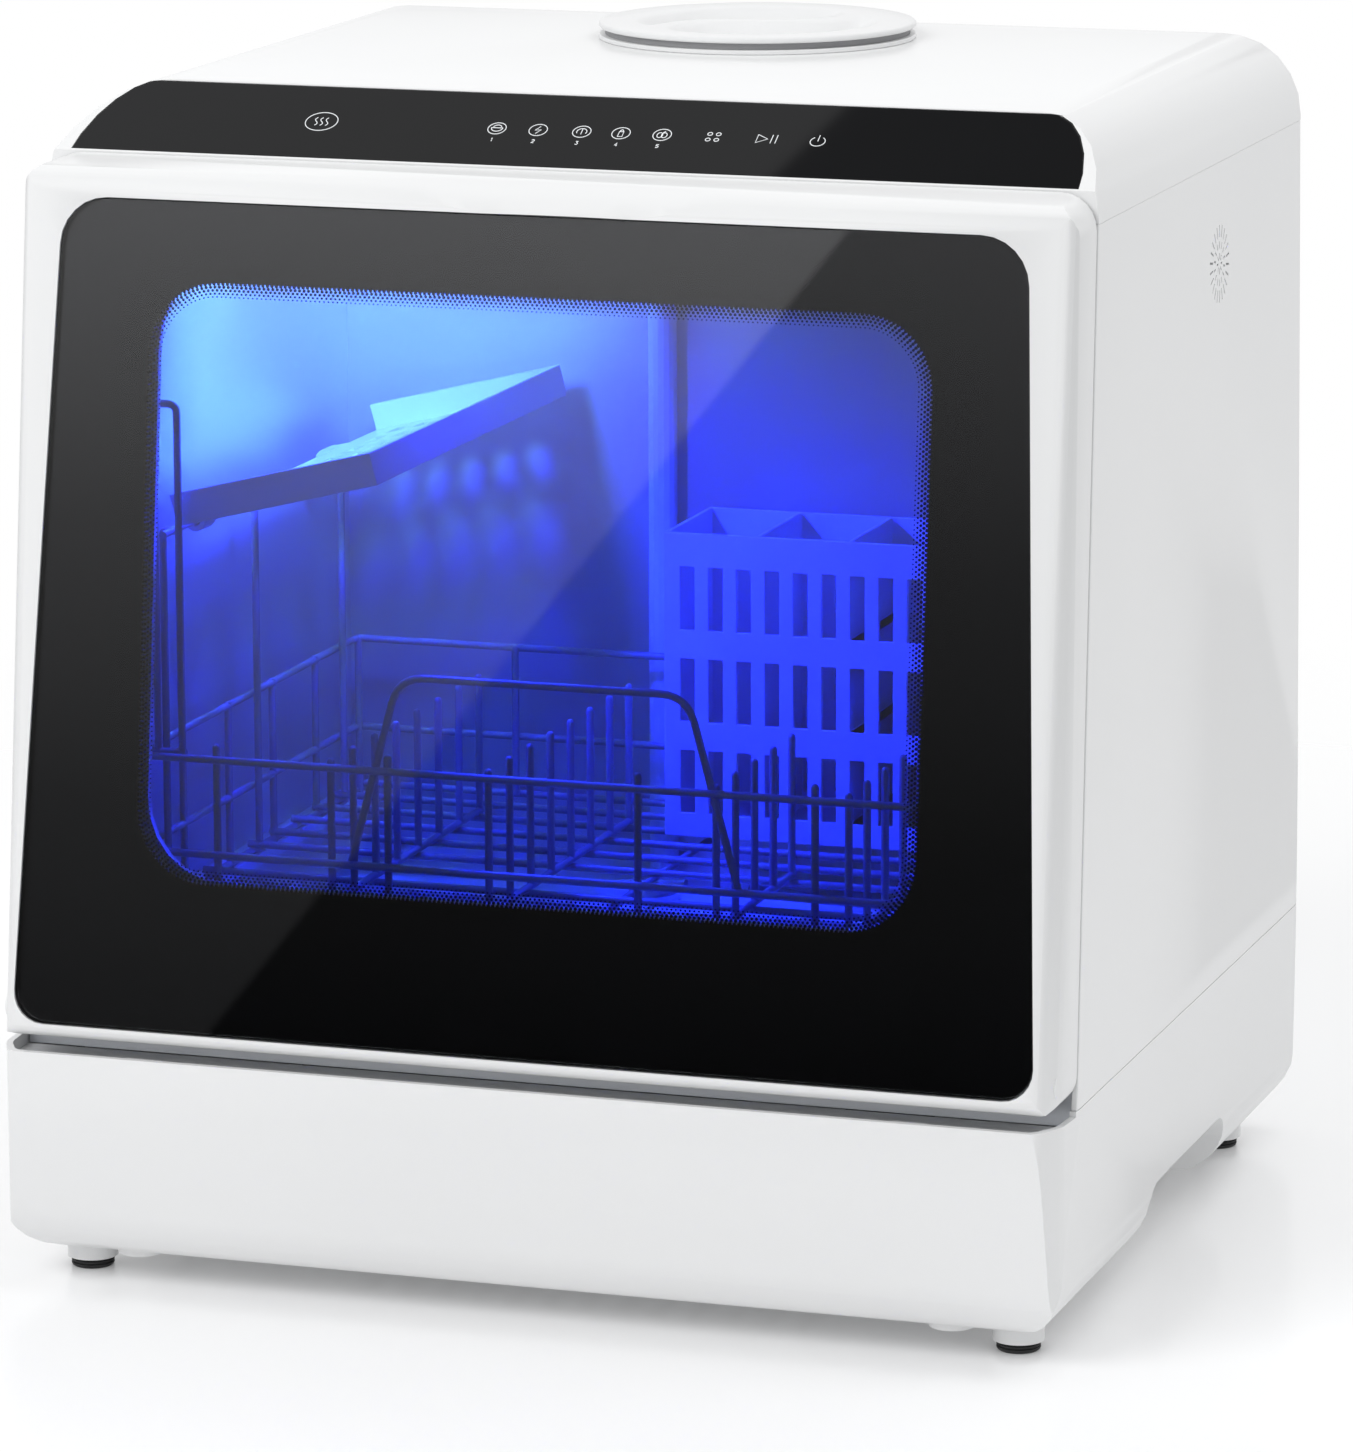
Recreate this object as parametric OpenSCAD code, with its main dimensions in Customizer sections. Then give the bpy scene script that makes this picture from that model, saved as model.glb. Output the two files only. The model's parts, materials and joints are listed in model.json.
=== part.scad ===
// Countertop dishwasher with a drop-down glass door.
// Millimetres, +Z up, front towards -Y, origin on the table below the middle of the casing.

/* [Casing] */
// Width across the sides where they meet the base
body_w = 430; // [420:1:450]
// Depth from the foot of the door to the back
body_d = 388; // [384:1:400]
// Height of the flat top above the table
case_top = 463; // [460:1:470]
// Height of the underside of the base
base_bottom = 11; // [9:0.5:13]
// Height of the seam between base and side panels
seam_low = 97.5; // [96:0.5:99]
// Drop from the flat top to the seam between top cover and side panels
top_band = 35.5; // [34:0.5:37]
// Inward slope of the sides above the base, in degrees
side_draft = 0.8; // [0.4:0.1:1.2]
// Inward slope of the front of the base, in degrees
base_draft = 6; // [4:0.5:8]
// Inward slope of the sides of the base, in degrees
base_side_draft = 1.2; // [0.6:0.1:2]
// Backward lean of the door, in degrees
door_lean = 6.3; // [5.5:0.1:7]
// Wall of the casing mouldings
wall = 2.5; // [2:0.1:3]
// Round along the sides of the top
top_r = 34; // [28:1:36]
// Round along the bottom of the base
bottom_r = 22; // [18:1:24]
// Round along the back edges
back_r = 8; // [6:0.5:10]

/* [Control panel] */
// Drop from the flat top to the lower edge of the sloping panel
panel_drop = 23.5; // [22:0.5:24.5]
// Distance of the panel's upper edge behind the foot of the door
panel_back = 110; // [106:1:114]
// Half width of the control glass
panel_half = 202; // [196:1:203]
// Round at the ends of the control glass
panel_r = 25; // [20:1:28]
// Thickness of the control glass
panel_t = 3; // [2.5:0.1:3.5]

/* [Door] */
// Depth kept free for the door in front of the casing
door_room = 30; // [29.5:0.1:30.5]
// Height of the lower edge of the door
door_bottom = 100.5; // [100:0.1:101]
// Space between the panel's lower edge and the front upper edge of the door
door_top_gap = 3; // [2:0.5:4.5]
// Wall of the door frame
door_wall = 3; // [2.5:0.1:3.5]
// Half width of the door glass at its foot
glass_half = 205.5; // [203:0.5:206]
// Inward slope of the side edges of the door glass, in degrees
glass_taper = 2.45; // [1.6:0.05:2.8]
// Height of the lower edge of the door glass
glass_low = 107; // [106.5:0.5:109]
// Height of the frame above the door glass
glass_top_room = 10.5; // [9.5:0.5:14]
// Thickness of the door glass
glass_t = 4; // [3:0.1:4]
// Thickness of the printed border behind the glass
print_t = 0.4; // [0.3:0.1:0.6]
// Half width of the clear window
window_half = 156.5; // [150:0.5:158]
// Height of the lower edge of the clear window
window_low = 164.5; // [160:0.5:170]
// Height of the printed border above the clear window
window_top_room = 31; // [29:0.5:38]
// Round at the corners of the clear window
window_r = 28; // [22:1:32]
// Thickness of the inner window pane
pane_t = 3; // [2.5:0.1:3.5]

/* [Hinge and latch] */
// Height of the hinge pins
hinge_z = 110.5; // [110.2:0.1:111]
// Distance of the hinge pins behind the door face
hinge_depth = 13.5; // [13.3:0.1:13.6]
// Radius of the hinge pins
pin_r = 2.5; // [2:0.1:2.8]
// Running clearance of the hinge pins, on the radius
pin_clear = 0.06; // [0.03:0.01:0.09]
// Distance of the hinge brackets outside the tub
bracket_out = 11.5; // [11:0.1:12]
// Thickness of the steel hinge brackets
bracket_t = 3; // [2.5:0.1:3.5]
// Width of the latch tongue
tongue_w = 16; // [12:1:20]
// Thickness of the latch tongue
tongue_t = 3; // [2.5:0.1:3.5]

/* [Tub] */
// Space between the tub and the widest part of the casing, on each side
tub_side_room = 31; // [30:0.5:33]
// Space between the tub and the back of the casing
tub_back_room = 70; // [68:1:72]
// Height of the underside of the tub floor
tub_floor = 110; // [109:0.5:111]
// Space between the tub roof and the upper seam of the casing
tub_roof_room = 3.5; // [3:0.1:4.5]
// Wall of the tub
tub_wall = 2; // [1.5:0.1:2.5]
// Round along the tub's long edges
tub_r = 16; // [12:1:20]

/* [Rack, shelf and basket] */
// Thickness of the rack's wire
wire_w = 3.2; // [2.8:0.1:3.6]
// Height of the rack's floor wires above the tub floor
rack_lift = 32.5; // [31.5:0.5:34]
// Space between the rack and the tub wall on each side
rack_gap = 10; // [9:0.5:12]
// Distance of the rack's front behind the foot of the door
rack_front = 52; // [51:0.5:54]
// Height of the rack's upper front wire
rack_high = 205; // [200:1:210]
// Height of the rack's lower front wire
rack_mid = 167; // [163:1:171]
// Height of the top of the raised hoop
hoop_high = 244; // [238:1:250]
// Width of the cup shelf
shelf_w = 93; // [88:1:96]
// Upward tilt of the cup shelf, in degrees
shelf_tilt = 14; // [12:1:16]
// Height of the shelf's hinge wire
shelf_z = 290; // [285:1:294]
// Width of the cutlery basket
basket_w = 118; // [110:1:124]
// Depth of the cutlery basket
basket_d = 60; // [54:1:64]
// Height of the cutlery basket
basket_h = 126; // [115:1:130]

/* [Spray arms and sump] */
// Reach of the lower spray arm from its spindle
lower_reach = 132; // [125:1:134]
// Reach of the upper spray arm from its spindle
upper_reach = 108; // [100:1:109]
// Radius of the spray arm spindles
spindle_r = 6; // [5:0.5:7]
// Running clearance of the spray arms, on the radius
arm_clear = 0.08; // [0.04:0.01:0.1]
// Radius of the sump bowl
sump_r = 62; // [60:1:64]
// Height of the underside of the sump bowl
sump_bottom = 60; // [58:1:62]
// Radius of the filter cup
filter_r = 16; // [14:0.5:16]

/* [Filler] */
// Diameter of the fill lid
lid_d = 130; // [124:1:134]
// Distance of the lid's centre in front of the back of the casing
lid_from_back = 76; // [74:1:80]
// Height of the lid's rim above the top
lid_rise = 7; // [6:0.5:8]

/* [Vent and feet] */
// Diameter of the round vent in the right side
vent_d = 31; // [27:1:33]
// Distance of the vent behind the foot of the door
vent_y = 250; // [245:1:255]
// Drop from the flat top to the middle of the vent
vent_drop = 76; // [73:1:79]
// Distance of the feet inside the widest part of the casing
foot_inset = 25; // [24:1:29]
// Distance of the front feet behind the foot of the door
foot_y = 40; // [36:1:46]
// Radius of the rubber feet
foot_r = 8.5; // [7.5:0.5:9]
// Height of the rubber feet
foot_h = 4; // [3:0.5:5]

/* [Hidden] */

$fn = 48;
arc_steps = 6;
eps = 0.01;
fit_gap = 0.3;
front = -body_d / 2;
back = body_d / 2;
lean = tan(door_lean);

seam_high = case_top - top_band;
panel_low = case_top - panel_drop;
door_top = panel_low - door_top_gap;
glass_high = door_top - glass_top_room;
window_high = glass_high - window_top_room;
vent_z = case_top - vent_drop;
foot_x = body_w / 2 - foot_inset;

tub_half = body_w / 2 - tub_side_room;
tub_roof = seam_high - tub_roof_room;
tub_back = back - tub_back_room;
floor_in = tub_floor + tub_wall;
roof_in = tub_roof - tub_wall;
arm_y = (seam_y(tub_floor) + tub_back) / 2;

hinge_y = face_y(hinge_z) + hinge_depth;
front_wall = glass_t + print_t + door_wall;
door_back = door_room - 1;
door_half = body_w / 2 - 0.4;
liner_t = 3;
bracket_x = tub_half + bracket_out;

slope_y = seam_y(panel_low);
slope_len = norm([front + panel_back - slope_y, case_top - panel_low]);
slope_a = atan2(case_top - panel_low, front + panel_back - slope_y);

rack_half = tub_half - tub_wall - rack_gap;
rack_y0 = front + rack_front;
rack_y1 = tub_back - 22;
rack_z = tub_floor + rack_lift;
rack_posts = [-139, -68, 34, 105];
hoop_x = -4;
hoop_foot = 81;
hoop_half = 62;
shelf_rod_r = 2;
shelf_x = -rack_half + wire_w + 4;
shelf_y0 = rack_y0 + 14;
shelf_y1 = rack_y1 - 6;
basket_x = 45;
basket_z = rack_z + wire_w / 2 + fit_gap;

lid_y = back - lid_from_back;
neck_r = lid_d / 2 - 10;
neck_flange_t = 1.9;
lid_disc_t = 2.4;
tank_front = tub_back + 8;
tank_back = back - wall - 12;
tank_top = case_top - 17;
tank_wall = 2;

pump_x = tub_half - 66;
pump_z = 78;
pump_r = 27;
drain_x = 72 - tub_half;
drain_z = 52;
filter_x = 0;
filter_y = arm_y + 38.5;
port_r = 6;
outlet_r = 7;
lower_arm_z = floor_in + 10;
upper_arm_z = roof_in - 32;
arm_t = 9;

pocket_half = 78;
pocket_low = 36;
pocket_high = 84;
pocket_deep = 26;
pocket_y = back - pocket_deep;
inlet_x = 48;
inlet_r = 10;
tail_r = 7;
port_z = (pocket_low + pocket_high) / 2;
tank_low = seam_low + 6;
foot_boss_r = foot_r + 1.5;
foot_boss_h = 20;

// ---- Outlines ----

// Rounds each corner [x, y, r] of a closed outline with an arc.
function rounded(pts) = [for (i = [0 : len(pts) - 1])
  let (p = pts[i], a = pts[(i + len(pts) - 1) % len(pts)], b = pts[(i + 1) % len(pts)])
  each corner([p.x, p.y], [a.x, a.y], [b.x, b.y], p.z)];

function corner(p, a, b, r) = r <= 0 ? [p] :
  let (u = (a - p) / norm(a - p), v = (b - p) / norm(b - p),
    half = acos(max(-1, min(1, u * v))) / 2,
    c = p + (u + v) / norm(u + v) * r / sin(half),
    s = p + u * r / tan(half) - c, e = p + v * r / tan(half) - c,
    a0 = atan2(s.y, s.x), sweep = turn(atan2(e.y, e.x) - a0))
  [for (k = [0 : arc_steps]) c + r * [cos(a0 + sweep * k / arc_steps), sin(a0 + sweep * k / arc_steps)]];

function turn(a) = a > 180 ? a - 360 : a < -180 ? a + 360 : a;

// Place of the rack's cross wires, counted from the front.
function rack_y(k) = rack_y0 + (rack_y1 - rack_y0) * k / 10;

// Front face of the door at a height, and the plane where the casing starts behind it.
function face_y(z) = front + (z - seam_low) * lean;
function seam_y(z) = face_y(z) + door_room;

// Half width of the casing at a height.
function half_w(z) = z >= seam_low ? body_w / 2 - (z - seam_low) * tan(side_draft)
  : body_w / 2 - (seam_low - z) * tan(base_side_draft);

// Outline in X and Z that is the same on both sides of the middle.
function both_sides(pts) = rounded(concat([for (p = pts) p],
  [for (i = [len(pts) - 1 : -1 : 0]) [-pts[i].x, pts[i].y, pts[i].z]]));

function box_outline(half, low, high, r) = both_sides([[half, low, r], [half, high, r]]);

module along_x(h) { rotate([90, 0, 90]) linear_extrude(h, center = true) children(); }
module along_y(h) { rotate([90, 0, 0]) linear_extrude(h, center = true) children(); }

// Slab that leans with the door, from d0 to d1 behind the door face.
module lean_slab(d0, d1, z0 = base_bottom, z1 = case_top) {
  along_x(2 * body_w)
    polygon([[face_y(z0) + d0, z0], [face_y(z0) + d1, z0], [face_y(z1) + d1, z1], [face_y(z1) + d0, z1]]);
}

// Flat outline in X and Z cut out of the leaning slab.
module leaf(d0, d1) {
  intersection() {
    lean_slab(d0, d1);
    along_y(2 * body_d) children();
  }
}

module block(x0, x1, y0, y1, z0, z1) {
  translate([x0, y0, z0]) cube([x1 - x0, y1 - y0, z1 - z0]);
}

// Straight rod between two points.
module rod(p, q, r, sides = 8) {
  v = q - p;
  translate(p) rotate([0, acos(v.z / norm(v)), atan2(v.y, v.x)]) cylinder(h = norm(v), r = r, $fn = sides);
}

// Hose through a list of points, with round bends and flat ends.
module bent_pipe(pts, r) {
  last = len(pts) - 1;
  for (i = [0 : last - 1]) hull() {
    rod(pts[i], pts[i + 1], r, 16);
    for (k = [i, i + 1]) if (k > 0 && k < last) translate(pts[k]) sphere(r, $fn = 16);
  }
}

module mirrored() {
  children();
  mirror([1, 0, 0]) children();
}

// ---- Casing ----

screw_r = 1.5;

// Countersunk screw; over lengthens its head outwards where it is used as a cut.
module screw(over) {
  translate([0, 0, -over]) cylinder(h = 1.6 + over, r = 2 * screw_r);
  cylinder(h = wall + 6, r = screw_r);
}

module back_screws(over = 0) {
  mirrored() for (x = [60, tub_half - 12], z = [seam_low + 10, seam_high - 10])
    translate([x, back, z]) rotate([90, 0, 0]) screw(over);
}

module base_screws(over = 0) {
  mirrored() for (y = [front + 60, back - 60]) translate([tub_half - 8.5, y, base_bottom]) screw(over);
}

// Plan of the casing, with the curved flanks beside the door.
function plan_outline(i) = let (h = body_w / 2 - i)
  rounded([[h - 7.5, front + i, 6], [h - 1.2, front + 14, 18], [h, front + 34, 0], [h, back - i, back_r - i],
    [-h, back - i, back_r - i], [-h, front + 34, 0], [-h + 1.2, front + 14, 18], [-h + 7.5, front + i, 6]]);

module plan_solid(i, z0, z1) {
  translate([0, 0, z0]) linear_extrude(z1 - z0) polygon(plan_outline(i));
}

module base_solid(i) {
  foot_in = (seam_low - base_bottom) * tan(base_draft);
  intersection() {
    along_y(2 * body_d) polygon(both_sides([[half_w(base_bottom) - i, base_bottom + i, bottom_r - i],
      [half_w(seam_low) - i, seam_low, 0], [half_w(seam_low) - i, seam_low + i, 0]]));
    along_x(2 * body_w) polygon(rounded([[front + foot_in + i, base_bottom + i, bottom_r - i],
      [front + i, seam_low + i, 0], [back - i, seam_low + i, 0], [back - 3 - i, base_bottom + i, bottom_r - i]]));
    plan_solid(i, base_bottom, seam_low + i);
  }
}

module upper_solid(i) {
  intersection() {
    along_y(2 * body_d) polygon(both_sides([[half_w(seam_low) - i, seam_low - i, 0],
      [half_w(case_top) - i, case_top - i, top_r - i]]));
    along_x(2 * body_w) polygon(rounded([[seam_y(seam_low) - i, seam_low - i, 0],
      [back - i, seam_low - i, 0], [back - i, case_top - i, back_r - i], [front - body_d, case_top - i, 0],
      [front - body_d, seam_low - i, 0]]));
    plan_solid(i, seam_low - i, case_top);
  }
}

// Slope of the control panel as a half space, sunk by a depth.
module under_slope(depth) {
  translate([0, slope_y, panel_low]) rotate([slope_a, 0, 0])
    translate([-body_w, -body_d, -depth - case_top]) cube([2 * body_w, 3 * body_d, case_top]);
}

module carry_recess(grow) {
  recess_y0 = front + 142;
  recess_y1 = front + 265;
  recess_top = base_bottom + 26;
  recess_in = 24;
  translate([body_w / 2 - recess_in / 2 - grow + wall * 2, 0, 0]) along_x(recess_in + wall * 4)
    polygon(rounded([[recess_y0 - grow, 0, 0], [recess_y1 + grow, 0, 0],
      [recess_y1 + grow, recess_top + grow, 10], [recess_y0 - grow, recess_top + grow, 18]]));
}

module base_housing() {
  color("white") difference() {
    union() {
      difference() {
        base_solid(0);
        base_solid(wall);
        block(-tub_half + 12, tub_half - 12, front + 47, back - 47, 0, base_bottom + 3 * wall);
      }
      intersection() {
        base_solid(0);
        mirrored() carry_recess(wall);
      }
      intersection() {
        base_solid(0);
        block(-pocket_half - wall, pocket_half + wall, pocket_y - wall, back, pocket_low - wall, pocket_high + wall);
      }
      mirrored() translate([foot_x - 24, front + foot_y - 8, base_bottom - 1.5]) cylinder(h = 4, r = 9);
      mirrored() block(136, 144, back - 38, back - 24, base_bottom, tank_low);
    }
    mirrored() carry_recess(0);
    base_screws(wall);
    at_feet() cylinder(h = base_bottom + bottom_r, r = foot_boss_r + fit_gap);
    block(-pocket_half, pocket_half, pocket_y, back + wall, pocket_low, pocket_high);
    block(-body_w, body_w, front - eps, front + door_room - 1, door_bottom - 5, seam_low + wall);
    for (port = [[-inlet_x, inlet_r], [0, tail_r], [inlet_x, tail_r]])
      translate([port[0], pocket_y, port_z]) rotate([90, 0, 0]) cylinder(h = 4 * wall, r = port[1], center = true);
  }
}

module base_plate() {
  plate_t = 2;
  plate_z = base_bottom + wall;
  color("gainsboro") {
    difference() {
      block(-tub_half + 5, tub_half - 5, front + 42, back - 42, plate_z, plate_z + plate_t);
      base_screws(wall);
      for (x = [-90 : 15 : 90]) block(x - 2, x + 2, arm_y - 95, arm_y - 60, 0, seam_low);
    }
    mirrored() for (y = [front + 80, tub_back - 28]) block(146, 154, y - 4, y + 4, plate_z + plate_t, tub_floor);
  }
}

sill_z = door_bottom - 12;
sill_t = 2;

module sill_plate() {
  slot_x = bracket_x + bracket_t / 2;
  color("silver") difference() {
    intersection() {
      block(-body_w, body_w, -body_d, face_y(sill_z) + door_room + 3, sill_z, sill_z + sill_t);
      base_solid(wall);
    }
    mirrored() block(slot_x - 6, slot_x + 6, front + 12, front + 18, 0, seam_low);
  }
  color("white") mirrored() block(148, 162, front + wall + 4, front + wall + 9, sill_z + sill_t, sill_z + 5);
}

module side_shell() {
  difference() {
    upper_solid(0);
    upper_solid(wall);
    block(-body_w, body_w, front - body_d, back + wall, seam_high, case_top + wall);
    lean_slab(-body_d, door_room);
    block(-tub_half, tub_half, 0, back + wall, 0, case_top);
  }
}

module side_panel_left() {
  color("white") intersection() {
    side_shell();
    block(-body_w, 0, -body_d, body_d, 0, case_top);
  }
}

// Rings of short radial slots.
module vent_slots() {
  rings = [[8, 0.06, 0.14], [14, 0.2, 0.29], [22, 0.34, 0.5]];
  slot_w = 0.9;
  translate([half_w(vent_z), front + vent_y, vent_z]) rotate([0, 90, 0])
    for (ring = rings) for (k = [0 : ring[0] - 1]) rotate([0, 0, 360 * k / ring[0]])
      translate([ring[1] * vent_d, -slot_w / 2, -3 * wall]) cube([(ring[2] - ring[1]) * vent_d, slot_w, 6 * wall]);
}

module side_panel_right() {
  color("white") difference() {
    intersection() {
      side_shell();
      block(0, body_w, -body_d, body_d, 0, case_top);
    }
    vent_slots();
  }
}

module back_panel() {
  color("whitesmoke") intersection() {
    difference() {
      upper_solid(0);
      upper_solid(wall);
      back_screws(wall);
    }
    block(-tub_half + fit_gap, tub_half - fit_gap, back - wall - eps, back, seam_low, seam_high);
  }
}

module panel_outline_solid(grow) {
  along_y(2 * body_d) polygon(both_sides([[panel_half + grow, seam_low, 0],
    [panel_half + grow, case_top + grow, panel_r]]));
}

// Sheet that lies along the panel slope, between two distances along it and two depths below it.
module slope_sheet(s0, s1, depth0, depth1, half) {
  translate([0, slope_y, panel_low]) rotate([slope_a, 0, 0]) block(-half, half, s0, s1, -depth1, -depth0);
}

module control_glass() {
  color("black") intersection() {
    slope_sheet(1.2, slope_len - 1.2, 0, panel_t, body_w);
    panel_outline_solid(0);
  }
}

module control_board() {
  board_half = 120;
  board_t = 1.6;
  depth = panel_t + wall + 3.5;
  far = slope_len - 2.3;
  near = far - 24;
  mid = (near + far) / 2;
  color("seagreen") slope_sheet(near, far, depth, depth + board_t, board_half);
  color("gray") for (s = [-1, 1]) translate([s * (board_half - 10), 0, 0])
    slope_sheet(mid - 2, mid + 2, panel_t + wall, depth, 4);
  color("dimgray") for (k = [-0.75, -0.25, 0.33, 0.67]) translate([k * board_half, 0, 0])
    slope_sheet(mid - 6, mid + 6, depth + board_t, depth + board_t + 3, 8);
}

module top_cover() {
  slot_half = tongue_w / 2 + 2;
  slot_z = tongue_z();
  color("white") difference() {
    intersection() {
      upper_solid(0);
      under_slope(0);
      block(-body_w, body_w, -body_d, body_d, seam_high, case_top);
      lean_slab(door_room, 2 * body_d);
    }
    intersection() {
      upper_solid(wall);
      under_slope(panel_t + wall);
      lean_slab(door_room + wall, 2 * body_d);
    }
    intersection() {
      slope_sheet(1, slope_len - 1, -1, panel_t + 0.1, body_w);
      panel_outline_solid(0.2);
    }
    translate([0, lid_y, case_top - 5 * wall]) cylinder(h = 10 * wall, r = neck_r + fit_gap);
    block(-slot_half, slot_half, -body_d, seam_y(slot_z) + 4 * wall, slot_z - 4, slot_z + 4.5);
  }
}

function tongue_z() = tub_roof + 5.6;

// ---- Tub and what is fixed to it ----

module tub_solid(i) {
  intersection() {
    along_y(2 * body_d) polygon(box_outline(tub_half - i, tub_floor + i, tub_roof - i, tub_r - i));
    block(-body_w, body_w, -body_d, tub_back - i, 0, case_top);
  }
}

// Front frame that closes the gap between the tub and the casing.
function flange_outline() = let (low = sill_z + sill_t, high = tub_roof + 2, in = wall + fit_gap)
  both_sides([[half_w(low) - in, low, 0], [half_w(seam_low) - in, seam_low, 0], [half_w(high) - in, high, 0]]);

module tub() {
  duct_r = 12;
  color("lightgray") difference() {
    union() {
      intersection() {
        tub_solid(0);
        lean_slab(door_room + 3, 2 * body_d);
      }
      leaf(door_room + 3, door_room + 5) polygon(flange_outline());
    }
    tub_solid(tub_wall);
    mirrored() block(bracket_x - fit_gap, bracket_x + bracket_t + fit_gap, -body_d, 0,
      hinge_z - ear_r - fit_gap, hinge_z + ear_r + fit_gap);
    translate([0, arm_y, tub_floor - 4]) cylinder(h = 10, r = sump_r - 4);
    translate([tub_half, front + vent_y, vent_z]) rotate([0, 90, 0]) cylinder(h = 20, r = duct_r, center = true);
    for (x = [-1, 1]) translate([x * heater_leg_x, heater_leg_y, tub_floor - 4]) cylinder(h = 10, r = heater_leg_r);
    translate([wash_inlet_x, spray_pipe_y, tub_floor - 4]) cylinder(h = 10, r = 4);
  }
}

module door_seal() {
  lip = 5;
  color("dimgray") leaf(door_back + 0.6, door_room + 3) difference() {
    polygon(box_outline(tub_half + lip, tub_floor - 3, tub_roof, tub_r));
    polygon(box_outline(tub_half - 1, tub_floor + 3, tub_roof - 6, tub_r));
  }
}

ear_r = 4.5;

module hinge_brackets() {
  plate_w = 9;
  plate_y = seam_y(tub_floor) + plate_w;
  arm_back = plate_y + plate_w;
  color("silver") mirrored() difference() {
    union() {
      translate([bracket_x, hinge_y, hinge_z]) rotate([0, 90, 0]) cylinder(h = bracket_t, r = ear_r);
      block(bracket_x, bracket_x + bracket_t, hinge_y, arm_back, hinge_z - ear_r, hinge_z + ear_r);
      block(bracket_x, bracket_x + bracket_t, plate_y, arm_back, hinge_z - 50, hinge_z + 30);
      block(tub_half, bracket_x + bracket_t, plate_y, arm_back, hinge_z + 16, hinge_z + 28);
    }
    translate([bracket_x - 1, hinge_y, hinge_z]) rotate([0, 90, 0]) cylinder(h = bracket_t + 2, r = pin_r + pin_clear);
  }
}

module latch_catch() {
  jaw = 3;
  top = tongue_z() + 5;
  catch_y = seam_y(tongue_z()) + 5.1;
  color("darkgray") difference() {
    block(-tongue_w / 2 - jaw, tongue_w / 2 + jaw, catch_y, catch_y + 14, tub_roof, top);
    block(-tongue_w / 2 - 1, tongue_w / 2 + 1, catch_y - 1, catch_y + 11, tongue_z() - bulb_r - fit_gap, top - 1.2);
  }
}

module led_lamp() {
  color("deepskyblue") block(-140, -92, arm_y - 60, arm_y - 46, roof_in - 5, roof_in);
}

module rack_rails() {
  rail_w = 12;
  rail_h = 5;
  rail_top = rack_z - 1.4 * wire_w - fit_gap;
  color("gainsboro") mirrored()
    block(tub_half - tub_wall - rail_w, tub_half - tub_wall, rack_y0 - 2, rack_y1 + 6, rail_top - rail_h, rail_top);
}

heater_r = sump_r + 24;
heater_leg_x = 20;
heater_leg_r = 2.8;
heater_leg_y = arm_y + sqrt(heater_r * heater_r - heater_leg_x * heater_leg_x);

module heater_ring() {
  tube_r = 3.2;
  gap_x = heater_leg_x - 6;
  heater_z = floor_in + tube_r + 1.5;
  color("gray") {
    difference() {
      translate([0, arm_y, heater_z]) rotate_extrude() translate([heater_r, 0]) circle(tube_r, $fn = 24);
      block(-gap_x, gap_x, arm_y, arm_y + 2 * heater_r, floor_in, heater_z + 2 * tube_r);
    }
    for (s = [-1, 1]) translate([s * heater_leg_x, heater_leg_y, tub_floor - 18])
      cylinder(h = heater_z - tub_floor + 18, r = heater_leg_r);
  }
}

pipe_r = 6;
wash_inlet_x = -40;
spray_pipe_y = tub_back - tub_wall - pipe_r - fit_gap;

module spray_pipe() {
  top_z = roof_in - pipe_r - fit_gap;
  color("gainsboro") {
    bent_pipe([[wash_inlet_x, spray_pipe_y, floor_in], [wash_inlet_x, spray_pipe_y, top_z], [0, arm_y, top_z]], pipe_r);
    translate([0, arm_y, upper_arm_z + arm_t + 1]) cylinder(h = top_z - upper_arm_z - arm_t - 1, r = 9);
    translate([0, arm_y, upper_arm_z - 3]) cylinder(h = arm_t + 5, r = spindle_r);
    translate([0, arm_y, upper_arm_z - 5]) cylinder(h = 4, r = spindle_r + 4);
  }
}

// ---- Water and drain parts in the base ----

fill_x = -32;
fill_z = sump_bottom + 12;
fill_r = 5;

module sump() {
  bowl_wall = 2.5;
  color("gray") {
    difference() {
      union() {
        translate([0, arm_y, sump_bottom]) cylinder(h = tub_floor - sump_bottom, r = sump_r);
        translate([0, arm_y, tub_floor - 2.5]) cylinder(h = 2.5, r = sump_r + 8);
      }
      translate([0, arm_y, sump_bottom + bowl_wall]) cylinder(h = tub_floor, r = sump_r - bowl_wall);
      translate([sump_r, arm_y, pump_z]) rotate([0, 90, 0]) cylinder(h = 20, r = 8, center = true);
      translate([-sump_r, arm_y, sump_bottom + 14]) rotate([0, 90, 0]) cylinder(h = 20, r = port_r + 0.2, center = true);
      translate([fill_x, arm_y + sump_r, fill_z]) rotate([90, 0, 0]) cylinder(h = 30, r = fill_r, center = true);
    }
    translate([0, arm_y, sump_bottom + 1]) cylinder(h = floor_in - sump_bottom - 1, r = 9);
  }
}

module filter_plate() {
  color("silver") {
    difference() {
      translate([0, arm_y, floor_in]) cylinder(h = 1.5, r = sump_r + 4);
      translate([filter_x, filter_y, tub_floor]) cylinder(h = 10, r = filter_r + 1);
      for (a = [0 : 20 : 340], k = [0.36, 0.58, 0.8]) let (p = k * sump_r * [cos(a), sin(a)])
        if (norm(p - [filter_x, filter_y - arm_y]) > filter_r + 5)
          translate([p.x, arm_y + p.y, tub_floor]) cylinder(h = 10, r = 2.5, $fn = 16);
    }
    translate([0, arm_y, floor_in + 1.5]) cylinder(h = lower_arm_z - floor_in - 2.5, r = 12);
    translate([0, arm_y, floor_in + 1.5]) cylinder(h = lower_arm_z - floor_in + arm_t, r = spindle_r);
    translate([0, arm_y, lower_arm_z + arm_t + 1]) cylinder(h = 2.5, r = spindle_r + 4);
  }
}

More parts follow.
